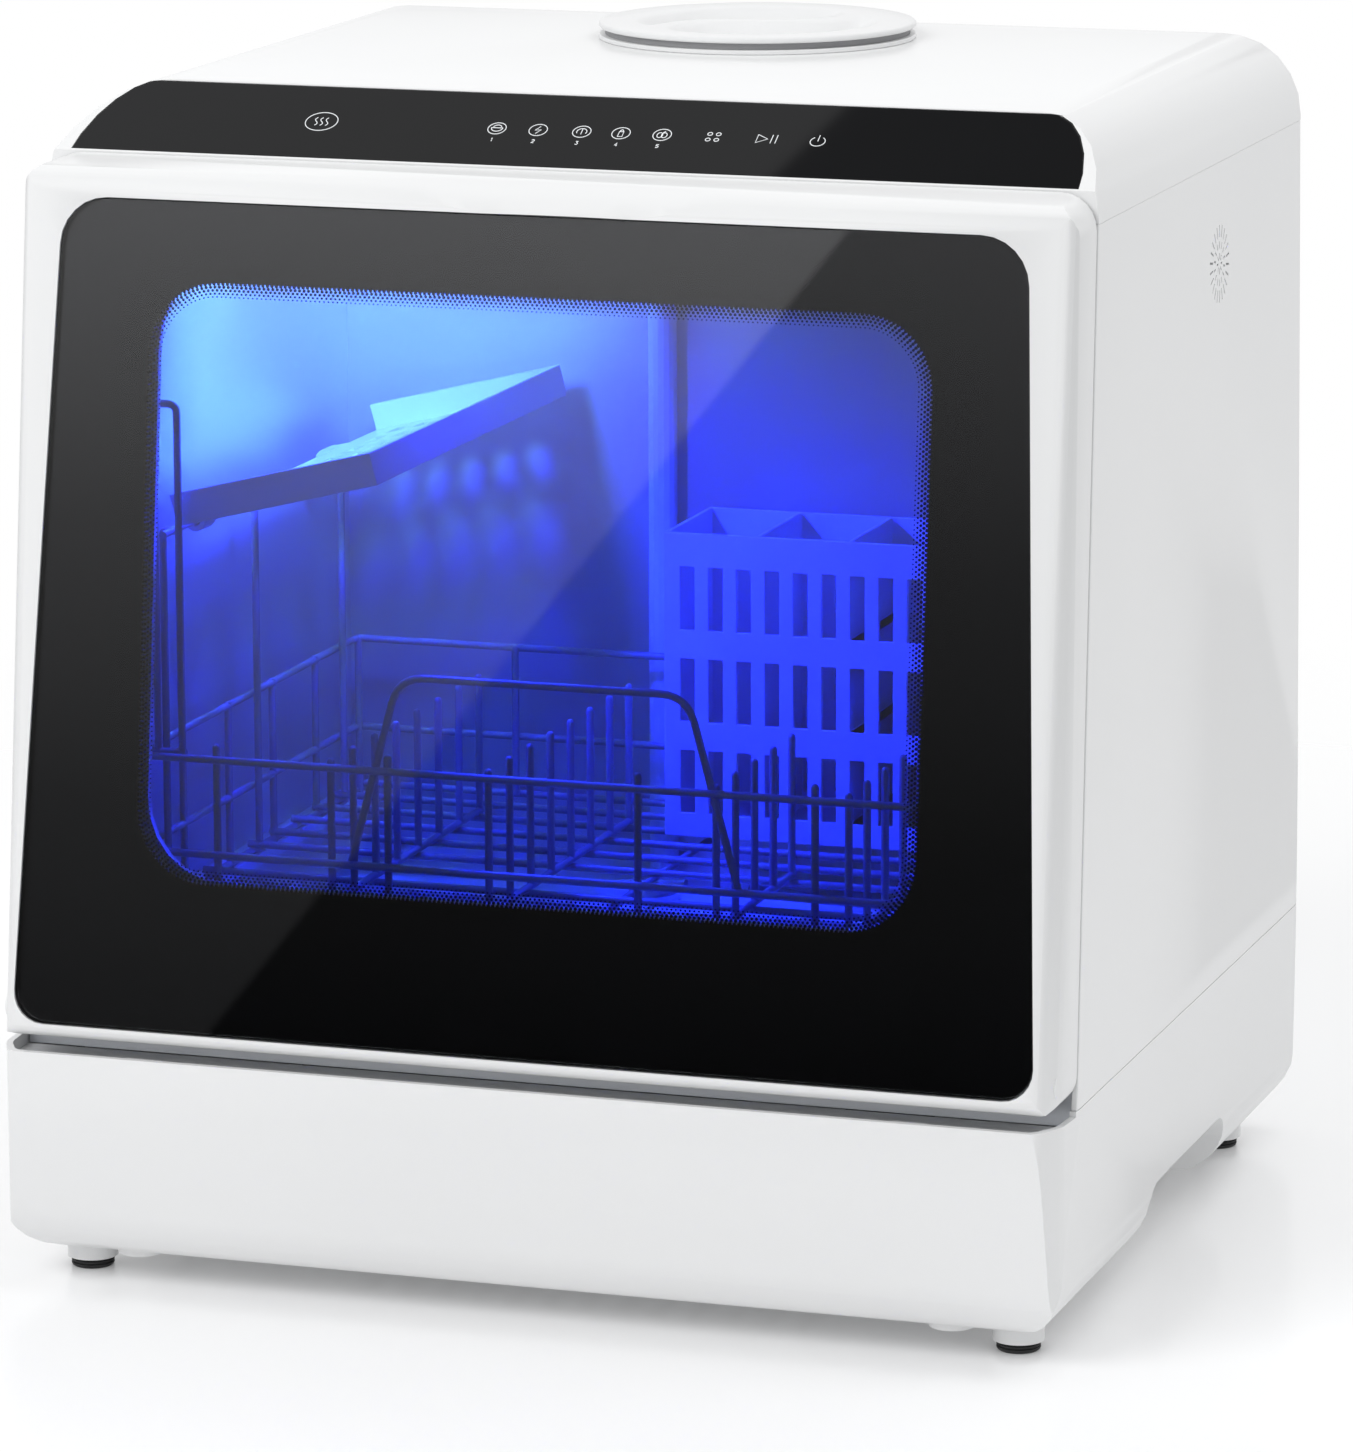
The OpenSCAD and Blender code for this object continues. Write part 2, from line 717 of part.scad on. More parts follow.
module filter_cup() {
  cup_low = sump_bottom + 10;
  cup_high = floor_in + 4;
  slot_w = 2.4;
  color("whitesmoke") {
    difference() {
      union() {
        translate([filter_x, filter_y, cup_low]) cylinder(h = cup_high - cup_low, r = filter_r);
        translate([filter_x, filter_y, floor_in + 1.8]) cylinder(h = 2, r = filter_r + 3);
      }
      translate([filter_x, filter_y, cup_low + 2]) cylinder(h = cup_high, r = filter_r - 2);
      translate([filter_x, filter_y, cup_low + 6]) for (a = [22.5, 67.5, 112.5, 157.5]) rotate(a)
        block(-2 * filter_r, 2 * filter_r, -slot_w / 2, slot_w / 2, 0, tub_floor - cup_low - 18);
    }
    block(filter_x - filter_r + 1, filter_x + filter_r - 1, filter_y - 1.5, filter_y + 1.5, cup_high - 10, cup_high);
  }
}

// Pump on its side: volute, cover and motor along X, hollow where the impeller turns.
module pump_body(x, y, z, r, motor_len, dir) {
  volute_len = 20;
  translate([x, y, z]) rotate([0, 90 * dir, 0]) difference() {
    union() {
      cylinder(h = volute_len, r = r);
      translate([0, 0, volute_len]) cylinder(h = motor_len, r = r - 2);
      translate([0, r - 1, volute_len / 2]) rotate([-90, 0, 0]) cylinder(h = 7, r = outlet_r);
    }
    translate([0, 0, 3]) cylinder(h = volute_len - 5, r = r - 3);
    translate([0, 0, -1]) cylinder(h = 5, r = port_r - 1.5);
    translate([0, 0, volute_len - 3]) cylinder(h = 13, r = shaft_r + 0.05);
  }
}

shaft_r = 2;

module impeller(x, y, z, r, dir, blades) {
  translate([x, y, z]) rotate([0, 90 * dir, 0]) {
    translate([0, 0, 12.5]) cylinder(h = 2, r = r);
    translate([0, 0, 5]) cylinder(h = 9, r = r / 4);
    for (k = [0 : blades - 1]) rotate([0, 0, 360 * k / blades]) translate([0, -0.8, 5]) cube([r - 1, 1.6, 8]);
    translate([0, 0, 14]) cylinder(h = 12, r = shaft_r);
  }
}

module wash_pump() {
  color("dimgray") {
    pump_body(pump_x - 34, arm_y, pump_z, pump_r, 50, 1);
    difference() {
      rod([sump_r - 2, arm_y, pump_z], [pump_x - 34, arm_y, pump_z], 8, 32);
      rod([sump_r - 4, arm_y, pump_z], [pump_x - 33, arm_y, pump_z], port_r, 32);
    }
    block(pump_x - 30, pump_x + 20, arm_y - 8, arm_y + 8, base_bottom + wall + 2, pump_z - pump_r + 3);
  }
}

module wash_hose() {
  start = [pump_x - 24, arm_y + pump_r + 6, pump_z];
  under = tub_floor - 11;
  color("slategray") bent_pipe([start, start + [0, 14, 0], [60, tub_back - 24, under],
    [wash_inlet_x, spray_pipe_y, under], [wash_inlet_x, spray_pipe_y, tub_floor]], 5.5);
}

module wash_impeller() { color("white") impeller(pump_x - 34, arm_y, pump_z, pump_r - 5, 1, 6); }

drain_r = 20;

module drain_pump() {
  route = [[drain_x + 30, arm_y, drain_z], [drain_x + 40, arm_y, sump_bottom + 14]];
  color("dimgray") {
    pump_body(drain_x + 20, arm_y, drain_z, drain_r, 34, -1);
    block(drain_x - 20, drain_x + 12, arm_y - 8, arm_y + 8, base_bottom + wall + 2, drain_z - drain_r + 3);
    difference() {
      bent_pipe([[drain_x + 19, arm_y, drain_z], each route, [-sump_r + 2, arm_y, sump_bottom + 14]], port_r);
      bent_pipe([[drain_x + 18, arm_y, drain_z], each route, [-sump_r + 4, arm_y, sump_bottom + 14]], port_r - 1.5);
    }
  }
}

module drain_impeller() { color("white") impeller(drain_x + 20, arm_y, drain_z, 14, -1, 5); }

module drain_hose() {
  start = [drain_x + 10, arm_y + drain_r + 6, drain_z];
  end = [0, pocket_y - wall - 3, port_z];
  low = base_bottom + 19;
  color("slategray") bent_pipe([start, start + [0, 12, 0], start + [0, 34, -18], [-70, end.y - 44, low],
    [-20, end.y - 26, low + 4], end - [0, 10, 0], end], 6);
}

module inlet_connector() {
  color("white") {
    translate([-inlet_x, pocket_y + 18, port_z]) rotate([90, 0, 0]) cylinder(h = 18, r = 13.2);
    translate([-inlet_x, pocket_y, port_z]) rotate([90, 0, 0]) cylinder(h = 12, r = inlet_r);
  }
}

module drain_connector() {
  color("gray") {
    translate([0, pocket_y + 22, port_z]) rotate([90, 0, 0]) cylinder(h = 18, r = 8.5);
    translate([0, pocket_y + 4, port_z]) rotate([90, 0, 0]) cylinder(h = 4, r = 11);
    translate([0, pocket_y, port_z]) rotate([90, 0, 0]) cylinder(h = wall + 3, r = tail_r);
  }
}

module cord_gland() {
  color("black") difference() {
    union() {
      translate([inlet_x, pocket_y + 12, port_z]) rotate([90, 0, 0]) cylinder(h = 12, r = 9);
      translate([inlet_x, pocket_y, port_z]) rotate([90, 0, 0]) cylinder(h = 10, r = tail_r);
    }
    translate([inlet_x, pocket_y + 13, port_z]) rotate([90, 0, 0]) cylinder(h = 30, r = tail_r / 2);
  }
}

module water_tank() {
  chamber_front = lid_y - neck_r - 6;
  tank_half = tub_half - 16;
  color("aliceblue") difference() {
    union() {
      block(-tank_half, tank_half, tank_front, tank_back, tank_low, tank_top);
      block(-neck_r - 10, neck_r + 10, chamber_front, tank_back, tub_roof + 4, tank_top);
    }
    block(-tank_half + tank_wall, tank_half - tank_wall, tank_front + tank_wall, tank_back - tank_wall,
      tank_low + tank_wall, tank_top - tank_wall);
    block(-neck_r - 8, neck_r + 8, chamber_front + tank_wall, tank_back - tank_wall,
      tub_roof + 4 + tank_wall, tank_top - tank_wall);
    translate([0, lid_y, tank_top - 4]) cylinder(h = 8, r = neck_r - 6);
    translate([-60, tank_front + 14, tank_low - 2]) cylinder(h = 8, r = 6);
  }
}

module filler_neck() {
  neck_wall = 2.5;
  color("white") difference() {
    union() {
      translate([0, lid_y, tank_top]) cylinder(h = case_top - tank_top, r = neck_r);
      translate([0, lid_y, case_top]) cylinder(h = neck_flange_t, r = lid_d / 2);
    }
    translate([0, lid_y, tank_top - 1]) cylinder(h = case_top, r = neck_r - neck_wall);
  }
}

module inlet_valve() {
  color("royalblue") {
    translate([-60, tank_front + 14, tank_low - 22]) cylinder(h = 22, r = 10);
    translate([-60, tank_front + 14, tank_low - 40]) cylinder(h = 18, r = 6);
    block(-86, -72, tank_front + 6, tank_front + 22, tank_low - 22, tank_low - 4);
    block(-73, -60, tank_front + 11, tank_front + 17, tank_low - 17, tank_low - 9);
  }
}

module fill_hose() {
  top = [-60, tank_front + 14, tank_low - 40];
  color("slategray") bent_pipe([top, top - [0, 0, 9], [fill_x, arm_y + sump_r + 22, fill_z],
    [fill_x, arm_y + sump_r - 12, fill_z]], fill_r);
}

// ---- Drying fan behind the vent ----

fan_x0 = tub_half;
fan_x1 = half_w(vent_z) - wall - 1;
fan_r = 22;

module fan_housing() {
  color("dimgray") translate([fan_x0, front + vent_y, vent_z]) rotate([0, 90, 0]) {
    difference() {
      cylinder(h = fan_x1 - fan_x0, r = fan_r);
      translate([0, 0, 3]) cylinder(h = fan_x1 - fan_x0, r = fan_r - 2);
      translate([0, 0, -1]) difference() {
        cylinder(h = 6, r = 12);
        translate([-20, -2.5, 0]) cube([40, 5, 6]);
        cylinder(h = 6, r = 5);
      }
    }
    translate([0, 0, 3]) cylinder(h = 8, r = shaft_r);
  }
}

module drying_fan() {
  hub_r = 6;
  color("black") translate([fan_x0, front + vent_y, vent_z]) rotate([0, 90, 0]) difference() {
    union() {
      translate([0, 0, 3.6]) cylinder(h = 10, r = hub_r);
      for (k = [0 : 6]) rotate([0, 0, 360 * k / 7]) translate([0, 0, 8.6]) rotate([30, 0, 0])
        translate([hub_r - 2, -0.7, -4]) cube([fan_r - hub_r - 2, 1.4, 8]);
    }
    translate([0, 0, 3]) cylinder(h = 8.4, r = shaft_r + 0.06);
  }
}

// ---- Feet and screws ----

module at_feet() {
  mirrored() for (y = [front + foot_y, back - foot_y]) translate([foot_x, y, 0]) children();
}

// Round foot bosses, set through the rounded edge of the base.
module foot_posts() {
  color("white") at_feet() translate([0, 0, foot_h]) cylinder(h = foot_boss_h, r = foot_boss_r);
}

module foot_pads() {
  color("black") at_feet() cylinder(h = foot_h, r = foot_r);
}

module casing_screws() {
  color("silver") {
    back_screws();
    base_screws();
  }
}

// ---- Door ----

hem_r = 8.5;
liner_low = door_bottom + 9;
door_screw_x = glass_half - 26;

module door_solid() {
  top_back = panel_low - 0.6;
  intersection() {
    along_y(2 * body_d) polygon(both_sides([[door_half, door_bottom, 10],
      [door_half - (top_back - door_bottom) * tan(side_draft), top_back, 14]]));
    along_x(2 * body_w) polygon(rounded([[face_y(door_bottom), door_bottom, 8],
      [face_y(door_bottom) + door_back, door_bottom, hem_r], [face_y(top_back) + door_back, top_back, 0],
      [face_y(door_top), door_top, 9]]));
    translate([0, front, seam_low]) rotate([-door_lean, 0, 0]) translate([0, -front, 0])
      plan_solid(0, -10, case_top);
  }
}

function door_inner(i, low, high) = both_sides([[door_half - i, low, 8],
  [door_half - i - (high - low) * tan(side_draft), high, 8]]);

function glass_outline(i) = both_sides([[glass_half - i, glass_low + i, 12 - i],
  [glass_half - (glass_high - glass_low) * tan(glass_taper) - i, glass_high - i, 19 - i]]);

function window_outline(grow) = box_outline(window_half + grow, window_low - grow, window_high + grow, window_r + grow);

// Space in the door for a hinge bracket as the door turns about it.
module bracket_notch(side_gap) {
  mirrored() block(bracket_x - side_gap, bracket_x + bracket_t + side_gap, hinge_y - ear_r - 2, back,
    seam_low, hinge_z + ear_r + 1.5);
}

module finger_scoop() {
  scoop_r = 400;
  scoop_deep = 7.5;
  translate([8, face_y(door_top), door_top] + (scoop_r - scoop_deep) * [0, -sin(45), cos(45)])
    sphere(scoop_r, $fn = 96);
}

module door_frame() {
  cavity_low = liner_low - 0.4;
  cavity_high = glass_high + 2;
  boss_r = pin_r + 3;
  side_in = door_half - (hinge_z - door_bottom) * tan(side_draft) - door_wall;
  color("white") difference() {
    union() {
      difference() {
        door_solid();
        leaf(front_wall, 2 * door_back) polygon(door_inner(door_wall + 4.2, cavity_low, cavity_high));
        leaf(front_wall + 7, 2 * door_back) polygon(door_inner(door_wall + 0.6, cavity_low, cavity_high));
      }
      mirrored() translate([bracket_x + bracket_t + 1.2, hinge_y, hinge_z]) rotate([0, 90, 0])
        cylinder(h = side_in - bracket_x - bracket_t - 0.7, r = boss_r);
    }
    leaf(-1, glass_t + print_t) polygon(glass_outline(-0.2));
    leaf(-1, front_wall + 1) polygon(window_outline(12));
    bracket_notch(1.2);
    hinge_pins();
    finger_scoop();
  }
}

module door_glass() {
  color("dimgray") leaf(0.2, glass_t) polygon(glass_outline(0));
}

module glass_print() {
  color("black") leaf(glass_t, glass_t + print_t) difference() {
    polygon(glass_outline(0));
    polygon(window_outline(0));
  }
}

module door_liner() {
  high = glass_high + 1.6;
  rim = 6;
  color("gainsboro") difference() {
    union() {
      leaf(door_back - liner_t, door_back) polygon(door_inner(door_wall + 1, liner_low, high));
      leaf(door_back - liner_t - pane_t - 4, door_back - liner_t / 2) difference() {
        polygon(window_outline(14 + rim));
        polygon(window_outline(12));
      }
      mirrored() for (z = [window_low + 30, window_high - 40]) leaf(front_wall, door_back - liner_t / 2)
        translate([door_screw_x, z]) circle(4);
    }
    leaf(0, 2 * door_back) polygon(window_outline(4));
    bracket_notch(1.2);
  }
}

module inner_window() {
  color("lightcyan") leaf(door_back - liner_t - pane_t, door_back - liner_t) polygon(window_outline(11.7));
}

module hinge_pins() {
  pin_out = door_half - door_wall - 1;
  color("silver") mirrored() translate([bracket_x - 2, hinge_y, hinge_z]) rotate([0, 90, 0])
    cylinder(h = pin_out - bracket_x + 2, r = pin_r);
}

bulb_r = 2;

module latch_tongue() {
  z = tongue_z();
  root_y = face_y(z + tongue_t / 2) + door_back;
  tip_y = root_y + 8.5;
  color("darkgray") {
    block(-tongue_w / 2, tongue_w / 2, root_y, tip_y, z - tongue_t / 2, z + tongue_t / 2);
    translate([0, tip_y - bulb_r, z]) rotate([0, 90, 0]) cylinder(h = tongue_w, r = bulb_r, center = true);
  }
}

module door_screws() {
  color("silver") mirrored() for (z = [window_low + 30, window_high - 40])
    leaf(door_back, door_back + 0.4) translate([door_screw_x, z]) circle(3);
}

// ---- Rack, shelf and basket ----

// Straight wire along one axis.
module wire(p, q) {
  translate([for (i = [0 : 2]) min(p[i], q[i]) - wire_w / 2]) cube([for (i = [0 : 2]) abs(q[i] - p[i]) + wire_w]);
}

// Raised hoop in the middle of the rack's front.
module hoop_outline(i) {
  polygon([[hoop_x - hoop_foot - i, rack_mid], [hoop_x - hoop_half - i, hoop_high - 8],
    [hoop_x - hoop_half + 7 - i / 3, hoop_high + i], [hoop_x + hoop_half - 7 + i / 3, hoop_high + i],
    [hoop_x + hoop_half + i, hoop_high - 8], [hoop_x + hoop_foot + i, rack_mid]]);
}

module wire_rack() {
  x = rack_half;
  low = rack_z - 0.9 * wire_w;
  color("gray") {
    for (k = [0 : 10]) wire([-x, rack_y(k), rack_z], [x, rack_y(k), rack_z]);
    for (s = [-x, 0, x]) wire([s, rack_y0, low], [s, rack_y1, low]);
    for (z = [rack_mid, rack_high], y = [rack_y0, rack_y1]) wire([-x, y, z], [x, y, z]);
    for (s = [-x, x]) {
      for (z = [rack_mid, rack_high]) wire([s, rack_y0, z], [s, rack_y1, z]);
      for (k = [0, 2, 4, 6, 8, 10]) wire([s, rack_y(k), low], [s, rack_y(k), rack_high]);
    }
    for (s = rack_posts) wire([s, rack_y0, rack_z], [s, rack_y0, rack_high + 5]);
    for (s = [-100, 0, 100]) wire([s, rack_y1, rack_z], [s, rack_y1, rack_high]);
    translate([0, rack_y0, 0]) along_y(wire_w) difference() {
      hoop_outline(0);
      hoop_outline(-wire_w);
      translate([0, rack_mid]) square([2 * hoop_foot, wire_w / 2], center = true);
    }
  }
}

// Rows of upright tines, each on its own wire across the rack's floor.
module plate_tines() {
  tine_h = 56;
  row_z = rack_z + wire_w;
  rows = [[-0.58, 8], [-0.2, 8], [0.34, 5], [0.65, 5]];
  color("gray") for (row = rows) let (x = row[0] * rack_half) {
    wire([x, rack_y(1), row_z], [x, rack_y(row[1]), row_z]);
    for (k = [1 : row[1]]) wire([x, rack_y(k), row_z], [x, rack_y(k), row_z + tine_h]);
  }
}

// Tall posts at the left with the wire that the shelf turns on.
module shelf_frame() {
  post_x = -rack_half + wire_w;
  color("gray") {
    for (k = [1, 5, 9]) {
      wire([post_x, rack_y(k), rack_z + wire_w], [post_x, rack_y(k), shelf_z]);
      wire([post_x, rack_y(k), shelf_z], [shelf_x, rack_y(k), shelf_z]);
    }
    translate([shelf_x, rack_y(0.6), shelf_z]) rotate([-90, 0, 0])
      cylinder(h = rack_y(9.4) - rack_y(0.6), r = shelf_rod_r);
  }
}

module on_shelf() {
  translate([shelf_x, 0, shelf_z]) rotate([0, -shelf_tilt, 0]) children();
}

module cup_shelf() {
  ring_r = 4.5;
  lip_h = 13;
  plate_t = 2.2;
  ring_len = 12;
  rings = [shelf_y0 + 34, shelf_y1 - 34 - ring_len];
  color("whitesmoke") on_shelf() difference() {
    union() {
      block(7, shelf_w, shelf_y0, shelf_y1, 2, 2 + plate_t);
      block(7, shelf_w, shelf_y0, shelf_y0 + plate_t, 2, 2 + lip_h);
      block(7, shelf_w, shelf_y1 - plate_t, shelf_y1, 2, 2 + lip_h);
      block(shelf_w - plate_t, shelf_w, shelf_y0, shelf_y1, 2, 2 + lip_h);
      for (y = rings) {
        translate([0, y, 0]) rotate([-90, 0, 0]) cylinder(h = ring_len, r = ring_r);
        block(0, 9, y, y + ring_len, 2, 2 + plate_t);
      }
    }
    for (y = rings) translate([0, y - 1, 0]) rotate([-90, 0, 0]) cylinder(h = ring_len + 2, r = shelf_rod_r + pin_clear);
    for (s = [20 : 12 : shelf_w - 14], y = [shelf_y0 + 16 : 26 : shelf_y1 - 24])
      block(s, s + 6, y, y + 16, 0, 3 * plate_t);
  }
}

// Tall wire loop at the rack's front corner, beside the shelf.
module shelf_loop() {
  y = rack_y0 + 9;
  root_x = -rack_half + wire_w;
  x0 = root_x + 3;
  x1 = x0 + 10;
  top = shelf_z + 53;
  color("gray") {
    wire([root_x, y, rack_high], [x1, y, rack_high]);
    wire([x0, y, rack_high], [x0, y, top]);
    wire([x1, y, rack_high], [x1, y, top]);
    wire([x0, y, top], [x1, y, top]);
  }
}

module cutlery_basket() {
  t = 2;
  y1 = rack_y1 - 4;
  y0 = y1 - basket_d;
  color("whitesmoke") difference() {
    block(basket_x - basket_w / 2, basket_x + basket_w / 2, y0, y1, basket_z, basket_z + basket_h);
    for (k = [0 : 2]) {
      cell = (basket_w - 4 * t) / 3;
      block(basket_x - basket_w / 2 + t + k * (cell + t), basket_x - basket_w / 2 + t + k * (cell + t) + cell,
        y0 + t, y1 - t, basket_z + t, basket_z + basket_h + t);
    }
    for (k = [0 : 8], z = [10 : 38 : basket_h - 30])
      block(basket_x - basket_w / 2 + 7 + k * 12, basket_x - basket_w / 2 + 13 + k * 12, y0 - 1, y1 + 1,
        basket_z + z, basket_z + z + 26);
  }
}

// ---- Spray arms ----

module spray_arm(reach, z, jets_up) {
  arm_w = 26;
  jet_r = 1.2;
  translate([0, arm_y, z]) difference() {
    union() {
      linear_extrude(arm_t) polygon(rounded([[-reach, -arm_w / 2 + 4, 8], [0, -arm_w / 2 - 5, 30], [reach, -arm_w / 2 + 4, 8],
        [reach, arm_w / 2 - 4, 8], [0, arm_w / 2 + 5, 30], [-reach, arm_w / 2 - 4, 8]]));
      cylinder(h = arm_t, r = 17);
    }
    translate([0, 0, -1]) cylinder(h = arm_t + 2, r = spindle_r + arm_clear);
    for (s = [-1, 1], k = [0.35, 0.5, 0.65, 0.8, 0.92])
      translate([s * k * reach, 0, jets_up ? arm_t - 3 : -1]) cylinder(h = 4, r = jet_r, $fn = 16);
  }
}

module lower_spray_arm() { color("silver") spray_arm(lower_reach, lower_arm_z, true); }
module upper_spray_arm() { color("silver") spray_arm(upper_reach, upper_arm_z, false); }

// ---- Fill lid ----

lid_top = case_top + lid_rise;
lid_under = lid_top - lid_disc_t;
plug_r = neck_r - 3.2;

module lid_seal() {
  low = case_top + neck_flange_t + 0.1;
  color("dimgray") translate([0, lid_y, low]) difference() {
    cylinder(h = lid_under - low, r = lid_d / 2 - 2.5);
    translate([0, 0, -1]) cylinder(h = 20, r = plug_r + 0.1);
  }
}

module fill_lid() {
  dish_r = plug_r - 3;
  dish_deep = 13;
  grip_w = 9;
  grip_low = 0.8;
  steps = 10;
  s_curve = function (t) [(dish_r + 6) * (2 * t - 1), 11 * sin(360 * t)];
  side = function (t, s) let (d = s_curve(t + 0.01) - s_curve(t - 0.01)) s_curve(t) + s * grip_w / 2 * [-d.y, d.x] / norm(d);
  color("white") translate([0, lid_y, 0]) {
    difference() {
      union() {
        translate([0, 0, lid_under]) cylinder(h = lid_disc_t, r = lid_d / 2);
        translate([0, 0, lid_under - dish_deep]) cylinder(h = dish_deep, r = plug_r);
      }
      translate([0, 0, lid_top - dish_deep]) cylinder(h = dish_deep + 1, r = dish_r);
    }
    translate([0, 0, lid_top - dish_deep - 0.5]) intersection() {
      rotate([0, 0, 50]) linear_extrude(dish_deep + 0.5 - grip_low)
        polygon(concat([for (k = [0 : steps]) side(k / steps, 1)], [for (k = [steps : -1 : 0]) side(k / steps, -1)]));
      cylinder(h = dish_deep, r = dish_r + 1);
    }
  }
}

base_housing();
base_plate();
sill_plate();
side_panel_left();
side_panel_right();
back_panel();
top_cover();
control_glass();
control_board();
tub();
door_seal();
hinge_brackets();
latch_catch();
water_tank();
filler_neck();
inlet_valve();
fill_hose();
sump();
filter_plate();
heater_ring();
wash_pump();
wash_hose();
drain_pump();
drain_hose();
spray_pipe();
fan_housing();
led_lamp();
rack_rails();
inlet_connector();
drain_connector();
cord_gland();
foot_posts();
foot_pads();
casing_screws();
door_frame();
door_glass();
glass_print();
door_liner();
inner_window();
hinge_pins();
latch_tongue();
door_screws();
wire_rack();
plate_tines();
shelf_frame();
cup_shelf();
shelf_loop();
cutlery_basket();
lower_spray_arm();
upper_spray_arm();
lid_seal();
fill_lid();
filter_cup();
wash_impeller();
drain_impeller();
drying_fan();
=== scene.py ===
import json
import math

import bmesh
import bpy
from mathutils import Matrix, Vector


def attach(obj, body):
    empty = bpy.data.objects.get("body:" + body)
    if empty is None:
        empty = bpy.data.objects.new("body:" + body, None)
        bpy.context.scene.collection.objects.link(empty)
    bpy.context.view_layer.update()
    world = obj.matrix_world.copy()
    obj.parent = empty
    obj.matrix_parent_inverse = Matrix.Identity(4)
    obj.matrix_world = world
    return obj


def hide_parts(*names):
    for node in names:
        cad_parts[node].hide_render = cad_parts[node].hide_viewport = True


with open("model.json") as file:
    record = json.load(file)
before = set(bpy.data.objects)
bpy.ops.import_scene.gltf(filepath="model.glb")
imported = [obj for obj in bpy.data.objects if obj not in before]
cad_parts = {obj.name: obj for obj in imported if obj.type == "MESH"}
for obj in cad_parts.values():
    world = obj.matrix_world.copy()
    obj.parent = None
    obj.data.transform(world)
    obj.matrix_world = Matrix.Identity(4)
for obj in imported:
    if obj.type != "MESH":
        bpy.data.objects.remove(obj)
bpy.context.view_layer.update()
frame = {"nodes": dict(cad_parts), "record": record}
print("frame loaded")

# The casing's driving sizes, in metres, as the solids have them.
casing = {"front": -0.194, "seamLow": 0.0975, "lean": math.radians(6.3)}
panel = {"low": 0.4395, "high": 0.463, "backEdge": 0.110, "room": 0.030}


def faceY(z):
    return casing["front"] + (z - casing["seamLow"]) * math.tan(casing["lean"])


view = {"azimuth": 18.266, "elevation": 12.007, "roll": -0.174, "distance": 2.923582, "aside": 0.001003,
        "above": -0.032144, "focalPixels": 7275.405, "imageHeight": 1452, "sensor": 36, "target": (0, 0.006, 0.23)}


def makeCamera():
    a, e, r = (math.radians(view[k]) for k in ("azimuth", "elevation", "roll"))
    back = Vector((math.sin(a) * math.cos(e), -math.cos(a) * math.cos(e), math.sin(e)))
    right = Vector((math.cos(a), math.sin(a), 0))
    up = back.cross(right)
    x = math.cos(r) * right + math.sin(r) * up
    y = math.cos(r) * up - math.sin(r) * right
    place = Vector(view["target"]) + back * view["distance"] + right * view["aside"] + up * view["above"]
    cam = bpy.data.objects.new("camera", bpy.data.cameras.new("camera"))
    cam.matrix_world = Matrix.Translation(place) @ Matrix((x, y, back)).transposed().to_4x4()
    cam.data.sensor_width = view["sensor"]
    cam.data.lens = view["focalPixels"] * view["sensor"] / view["imageHeight"]
    cam.data.clip_end = 50
    bpy.context.collection.objects.link(cam)
    bpy.context.scene.camera = cam
    return cam


camera = makeCamera()


# Direction of the ray from the camera through a place on a tilted plate, after the plate mirrors it.
def mirrored(point, normal):
    ray = (Vector(point) - camera.matrix_world.translation).normalized()
    n = Vector(normal).normalized()
    return ray - 2 * ray.dot(n) * n


def newMaterial(name):
    m = bpy.data.materials.new(name)
    m.use_nodes = True
    m.node_tree.nodes.clear()
    out = m.node_tree.nodes.new("ShaderNodeOutputMaterial")
    shader = m.node_tree.nodes.new("ShaderNodeBsdfPrincipled")
    m.node_tree.links.new(shader.outputs[0], out.inputs[0])
    return m, m.node_tree, shader


def add(tree, kind, **values):
    n = tree.nodes.new(kind)
    for key, value in values.items():
        if key in n.inputs.keys():
            n.inputs[key].default_value = value
        else:
            setattr(n, key, value)
    return n


def ranged(tree, fromLow, fromHigh, toLow, toHigh):
    n = add(tree, "ShaderNodeMapRange")
    for key, value in (("From Min", fromLow), ("From Max", fromHigh), ("To Min", toLow), ("To Max", toHigh)):
        n.inputs[key].default_value = value
    return n


# Fine grain of a moulded surface: a height and a slow colour drift, from object coordinates.
def makeGrainGroup():
    g = bpy.data.node_groups.new("mouldedGrain", "ShaderNodeTree")
    g.interface.new_socket("Scale", in_out="INPUT", socket_type="NodeSocketFloat").default_value = 900
    g.interface.new_socket("Drift", in_out="INPUT", socket_type="NodeSocketFloat").default_value = 6
    g.interface.new_socket("Height", in_out="OUTPUT", socket_type="NodeSocketFloat")
    g.interface.new_socket("Mottle", in_out="OUTPUT", socket_type="NodeSocketFloat")
    into, out = g.nodes.new("NodeGroupInput"), g.nodes.new("NodeGroupOutput")
    place = g.nodes.new("ShaderNodeTexCoord")
    fine = add(g, "ShaderNodeTexNoise", Detail=3.0, Roughness=0.6)
    slow = add(g, "ShaderNodeTexNoise", Detail=2.0, Roughness=0.5)
    g.links.new(place.outputs["Object"], fine.inputs["Vector"])
    g.links.new(place.outputs["Object"], slow.inputs["Vector"])
    g.links.new(into.outputs["Scale"], fine.inputs["Scale"])
    g.links.new(into.outputs["Drift"], slow.inputs["Scale"])
    g.links.new(fine.outputs["Fac"], out.inputs["Height"])
    g.links.new(slow.outputs["Fac"], out.inputs["Mottle"])
    return g


grainGroup = makeGrainGroup()


